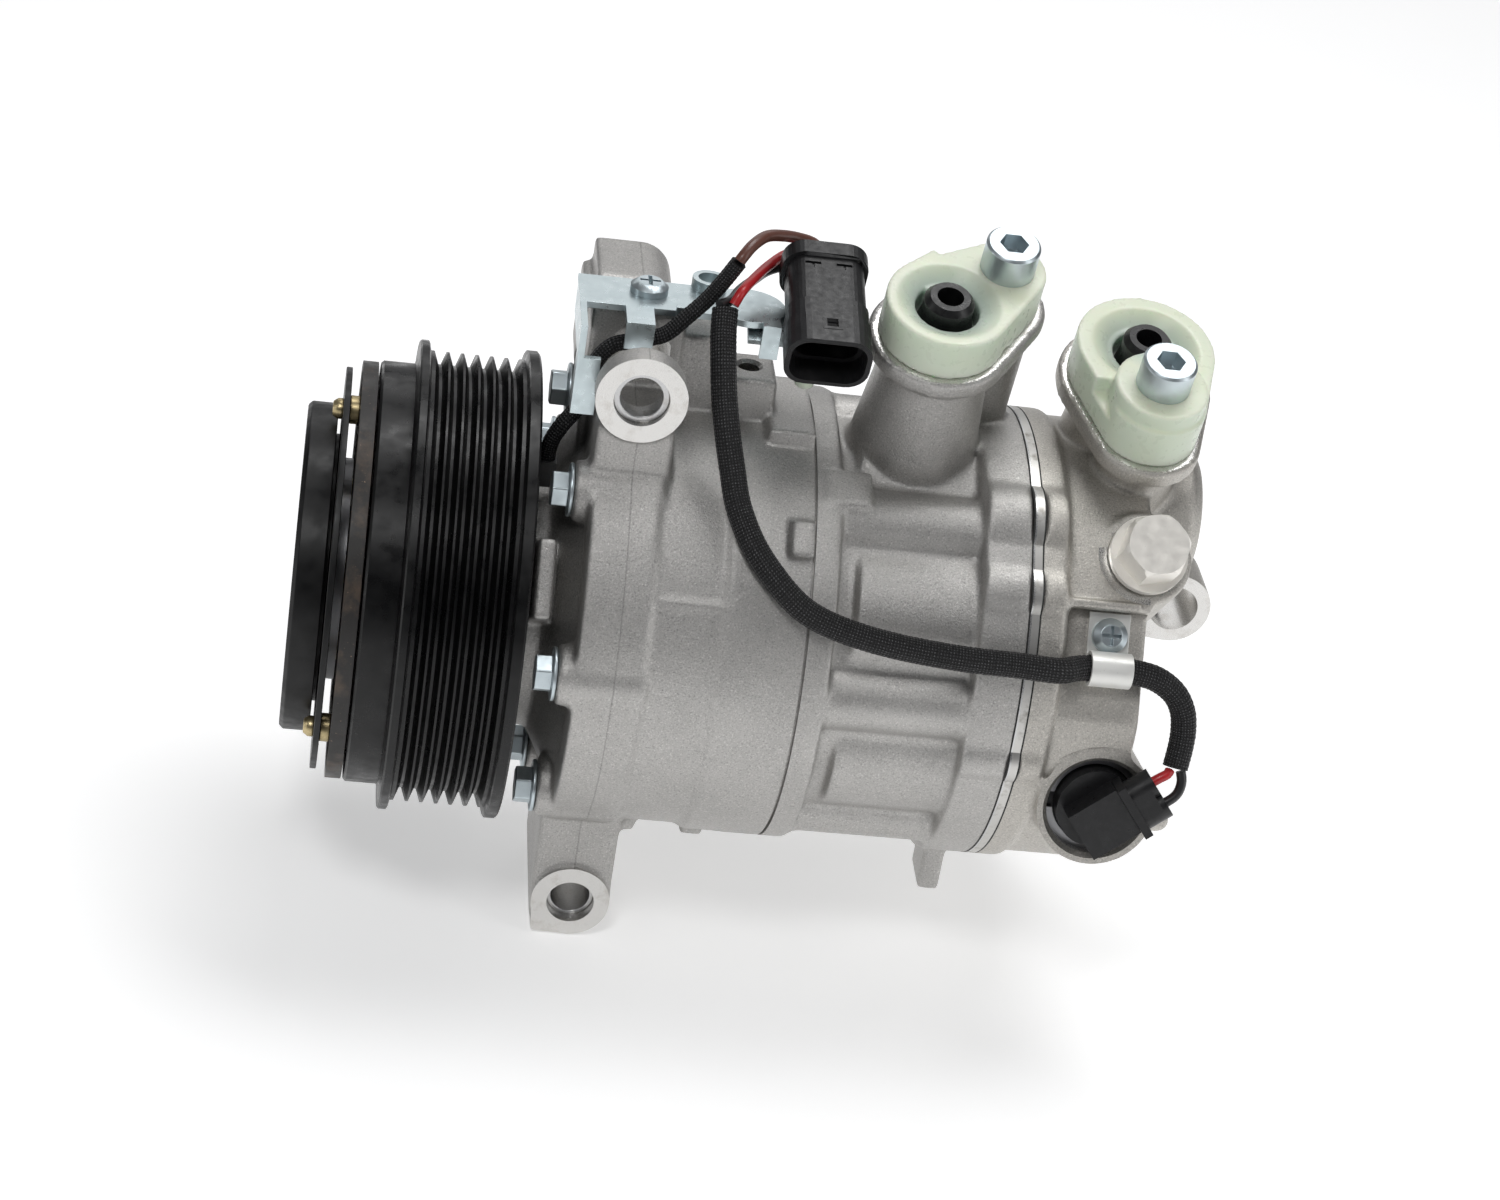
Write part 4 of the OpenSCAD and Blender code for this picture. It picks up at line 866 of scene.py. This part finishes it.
def suction_cap():
    """Dished round its plug, with a squared corner behind and a notch at its foot."""
    place = facing(PORT_ANGLE, *SUCTION)
    leaning = place @ CAP_LEAN
    corner = slab("add", leaning, (0, 4, 0), (9.5, 14.7, CAP_TOP))
    dish = rod("cut", place, CAP_TOP - 2.4, CAP_TOP + 0.1, 8, 12.4)
    notch = slab("cut", leaning, (13, -18, -0.1), (15.5, -11.2, 3.4))
    gap = slab("cut", leaning, (7, -18, -0.1), (13.5, -12.2, 1.3))
    moulded_skin("suction_cap", nylon, [corner], [dish, notch, gap])


def discharge_cap():
    """Dished round its plug, and stepped down beside the pedestal of its screw."""
    place = facing(PORT_ANGLE, *DISCHARGE)
    dish = rod("cut", place, CAP_TOP - 2.6, CAP_TOP + 0.1, 9, 13.4)
    step = slab("cut", place, (-20, -32, 6.4), (-9.8, -12.5, CAP_TOP + 1))
    boss = facing(PORT_ANGLE, *DISCHARGE_SCREW, DISCHARGE[2])
    pedestal = rod("add", boss, 5, CAP_TOP + 4.45, 11.2)
    bore = rod("cut", boss, -1, 20, 4.2)
    moulded_skin("discharge_cap", nylon, [pedestal], [dish, step, bore])


def main_connector():
    """Plug housing with a stepped mouth, a rim, a latch window and two slots."""
    place = Matrix.Translation(Vector(CONNECTOR) * MM)
    place = place @ Matrix.Rotation(math.radians(90 + CONNECTOR_DIP), 4, "X")
    added = [
        prism("add", place, 19.2, 13.6, 4.6, 2, 16.45),
        prism("add", place, 20, 14.4, 5.2, 7.4, 16.4),
        slab("add", place, (-2.3, 5, 8.4), (2.3, 7.3, 12.6)),
    ]
    cut = [
        prism("cut", place, 15.2, 9.6, 3.4, -3, 18),
        prism("cut", place, 17.6, 12, 4.2, 9.5, 18),
        slab("cut", place, (-1.3, 6, 9.2), (1.3, 9, 11.8)),
        slab("cut", place, (-5.6, 5.7, -10.6), (-1.8, 9, -9.8)),
        slab("cut", place, (1.8, 5.7, -10.6), (5.6, 9, -9.8)),
        slab("cut", place, (-4, 5.7, -10), (-3.4, 9, -8.6)),
        slab("cut", place, (3.4, 5.7, -10), (4, 9, -8.6)),
    ]
    softened(
        "main_connector", 0.3, connector_skin, added=added, cut=cut, faceted=True
    )


softened("through_bolts", 0.35, blue_zinc)
softened("lug_bushings", 0.3, turned_steel)
suction_cap()
discharge_cap()
softened("port_plugs", 0.5, rubber, 4)
softened("cap_screws", 0.35, blue_zinc)
softened("harness_bracket", 0.3, zinc_sheet)
softened("bracket_screw", 0.25, blue_zinc)
softened("p_clip", 0.2, tin_plate)
softened("p_clip_screw", 0.25, blue_zinc)
softened("relief_plug", 0.45, plug_metal)
softened("valve_coil", 0.5, valve_skin)
softened("valve_connector", 0.5, connector_skin)
main_connector()
softened("connector_peg", 0.5, nylon)
softened("hub_cover", 0.7, cover_paint, 4, "shaft")
softened("hub_rivets", 0.4, gold_zinc, 3, "shaft")
softened("hub_bolt", 0.35, blue_zinc, 3, "shaft")
softened("spring_plate", 0.2, cover_paint, 2, "shaft")
softened("armature_plate", 0.25, plate_paint, 2, "armature")
softened("armature_rivets", 0.4, gold_zinc, 3, "armature")

# ---------- harness ----------

SLEEVE_ROUTE = [
    (53.5, -13, 85.8), (53.5, -16.5, 81.6), (54, -21, 76), (55, -25, 69),
    (56.5, -29, 62), (58.5, -32.5, 54.5), (60.5, -37, 48), (64.5, -43, 41.5),
    (70, -48, 36), (76.5, -51.5, 31), (84, -53.5, 28), (94, -55, 26),
    (105, -55.5, 24.5), (117, -55.8, 23.6), (128, -55.6, 23.2), (138, -56.1, 23),
    (142.5, -53.2, 22.2), (146.2, -51.05, 21.5), (152, -51.05, 21.5),
    (157, -51.05, 21.5), (163, -51.1, 20.3), (168, -51.6, 17.2), (170.8, -52.4, 13),
    (171.8, -53.5, 8.5), (171.7, -55, 4.5), (171, -57, 0),
]
COIL_ROUTE = [
    (55.4, -9, 96), (52.6, -8.4, 90.5), (49.4, -8.6, 85.6), (45.4, -9.8, 81.4),
    (41.2, -11, 77.3), (37.4, -11.5, 75.8), (33.9, -11.5, 74.6), (29.6, -11.5, 73.4),
    (26.6, -11.7, 70.4), (25, -12.2, 66.5), (24.3, -13, 62), (22.8, -13.8, 57.4),
    (20, -14, 53), (18, -13.4, 48.5), (17.4, -12.8, 45.3), (17.3, -12.6, 42.6),
]
BROWN_ROUTE = [
    (55.65, -9.05, 96.5), (56.4, -8.5, 97.6), (58.6, -5.6, 99.3), (62, -1, 99.8),
    (66.5, 4.5, 98), (71, 9.5, 95.6), (75, 11, 94), (77.3, 8.6, 92.6), (77.3, 5.9, 91.7),
]
RED_ROUTE = [
    (55.4, -12.4, 86.8), (57.2, -10.2, 89.6), (60.8, -2.7, 90.1), (64.5, 5.2, 89.8),
    (68.6, 10, 90.8), (72, 8.8, 92), (72.3, 5.9, 91.7),
]
BLACK_ROUTE = [
    (52.1, -12.4, 86.5), (55, -9.4, 86.6), (57.2, -4.5, 87), (60.5, 1, 87.2),
    (65.5, 7.8, 87.6), (74, 11.4, 89), (80.5, 10.6, 91.6), (82.3, 8.6, 92.2),
    (82.3, 5.9, 91.7),
]
VALVE_RED_ROUTE = [
    (169.6, -57.8, -0.5), (169, -58.6, -1.1), (167.2, -59.1, -2.1), (164.5, -59.5, -4.1),
]
VALVE_BLACK_ROUTE = [
    (172.4, -57.5, -0.6), (172.9, -58.4, -2.6), (172.6, -59.3, -4.8),
    (171.4, -60, -6.6), (168.6, -60.5, -8.8),
]


SLEEVE_R, COIL_SLEEVE_R, BROWN_R, WIRE_R = 3.1, 2.0, 1.4, 1.2
YARN_STEP, WIRE_STEP = 0.5, 0.8


def wire_pair(name, routes):
    """One object from the tubes along several routes."""
    bm = bmesh.new()
    for route in routes:
        part = tube("lead", route, WIRE_R, WIRE_STEP)
        bm.from_mesh(part.data)
        bpy.data.objects.remove(part)
    ob = from_bmesh(name, bm)
    smooth(ob.data, 60)
    return ob


braid = tube("harness_braid", SLEEVE_ROUTE, SLEEVE_R, YARN_STEP, 48, 0.22)
finish_piece(braid, "harness_sleeve", "housing", sleeve_skin)
lead = tube("coil_lead_braid", COIL_ROUTE, COIL_SLEEVE_R, YARN_STEP, 36, 0.18)
finish_piece(lead, "coil_sleeve", "housing", sleeve_skin)
brown = tube("brown_lead", BROWN_ROUTE, BROWN_R, WIRE_STEP, 24)
finish_piece(brown, "brown_wire", "housing", brown_skin)
reds = wire_pair("red_leads", (RED_ROUTE, VALVE_RED_ROUTE))
finish_piece(reds, "red_wires", "housing", red_skin)
blacks = wire_pair("black_leads", (BLACK_ROUTE, VALVE_BLACK_ROUTE))
finish_piece(blacks, "black_wires", "housing", black_skin)

# ---------- studio ----------


def aim(ob, place, target):
    ob.location = place
    ob.rotation_euler = (Vector(target) - Vector(place)).to_track_quat("-Z", "Y").to_euler()


# How brightly the floor glows, and how far it lies below the object, in metres
FLOOR_GLOW, FLOOR_CLEARANCE = 0.40, 0.0002


def studio_floor(z):
    s = Shader("studio_floor", (0.94, 0.94, 0.94), 0.9, 0.0, Specular_IOR_Level=0.1)
    s.main.inputs["Emission Color"].default_value = (1, 1, 1, 1)
    s.main.inputs["Emission Strength"].default_value = FLOOR_GLOW
    s.tint(s.remap(s.noise(60, 3.0), 0.4, 0.7, 0, 0.2), (0.92, 0.92, 0.925))
    bm = bmesh.new()
    bmesh.ops.create_grid(bm, x_segments=2, y_segments=2, size=6)
    ob = from_bmesh("floor", bm)
    ob.location = (0, 0, z)
    ob.data.materials.append(s.material)


def area_light(name, place, size, power):
    lamp = bpy.data.lights.new(name, "AREA")
    lamp.shape = "RECTANGLE"
    lamp.size, lamp.size_y = size
    lamp.energy = power
    ob = add_object(name, lamp)
    aim(ob, place, LIGHTS_MEET)


# The camera's azimuth, elevation and roll, what it looks at, how far off, and its lens
CAMERA_TURN, CAMERA_TARGET, CAMERA_DISTANCE = (8.83, 29.70, 9.74), (72.69, 0, 1.86), 820.3
CAMERA_LENS, CAMERA_SENSOR = 79.63, 36


def studio_camera():
    azimuth, elevation, roll = (math.radians(a) for a in CAMERA_TURN)
    target, distance = Vector(CAMERA_TARGET) * MM, CAMERA_DISTANCE * MM
    flat = math.cos(elevation)
    away = Vector((-math.sin(azimuth) * flat, -math.cos(azimuth) * flat, math.sin(elevation)))
    right = (-away).cross(Vector((0, 0, 1))).normalized()
    up = right.cross(-away)
    rolled = right * math.cos(roll) + up * math.sin(roll)
    upright = -right * math.sin(roll) + up * math.cos(roll)
    camera = bpy.data.cameras.new("camera")
    camera.lens, camera.sensor_width = CAMERA_LENS, CAMERA_SENSOR
    camera.clip_start, camera.clip_end = 0.01, 50
    ob = add_object("camera", camera)
    turn = Matrix((rolled, upright, away)).transposed().to_4x4()
    ob.matrix_world = Matrix.Translation(target + away * distance) @ turn
    bpy.context.scene.camera = ob


def studio_world():
    world = bpy.data.worlds.new("studio")
    world.use_nodes = True
    background = world.node_tree.nodes["Background"]
    background.inputs["Color"].default_value = (0.93, 0.95, 1.0, 1)
    background.inputs["Strength"].default_value = 0.1
    bpy.context.scene.world = world


studio_floor(cad_box[0][2] - FLOOR_CLEARANCE)
studio_camera()
studio_world()
# Where the lights point, and the name, place, size and power of each, in metres and watts
LIGHTS_MEET = (0.07, 0, 0)
LIGHTS = (
    ("key", (-0.25, -0.75, 1.1), (0.35, 0.3), 4.2),
    ("top", (0.3, 0.25, 1.1), (0.8, 0.5), 6.4),
    ("back", (0.1, 1.5, 0.9), (2.0, 0.8), 5.0),
    ("left", (-1.0, -0.2, 0.3), (0.25, 0.8), 1.1),
    ("right", (1.0, -0.5, 0.4), (0.4, 0.8), 2.0),
)
for light in LIGHTS:
    area_light(*light)
bpy.context.scene.view_settings.view_transform = "Standard"
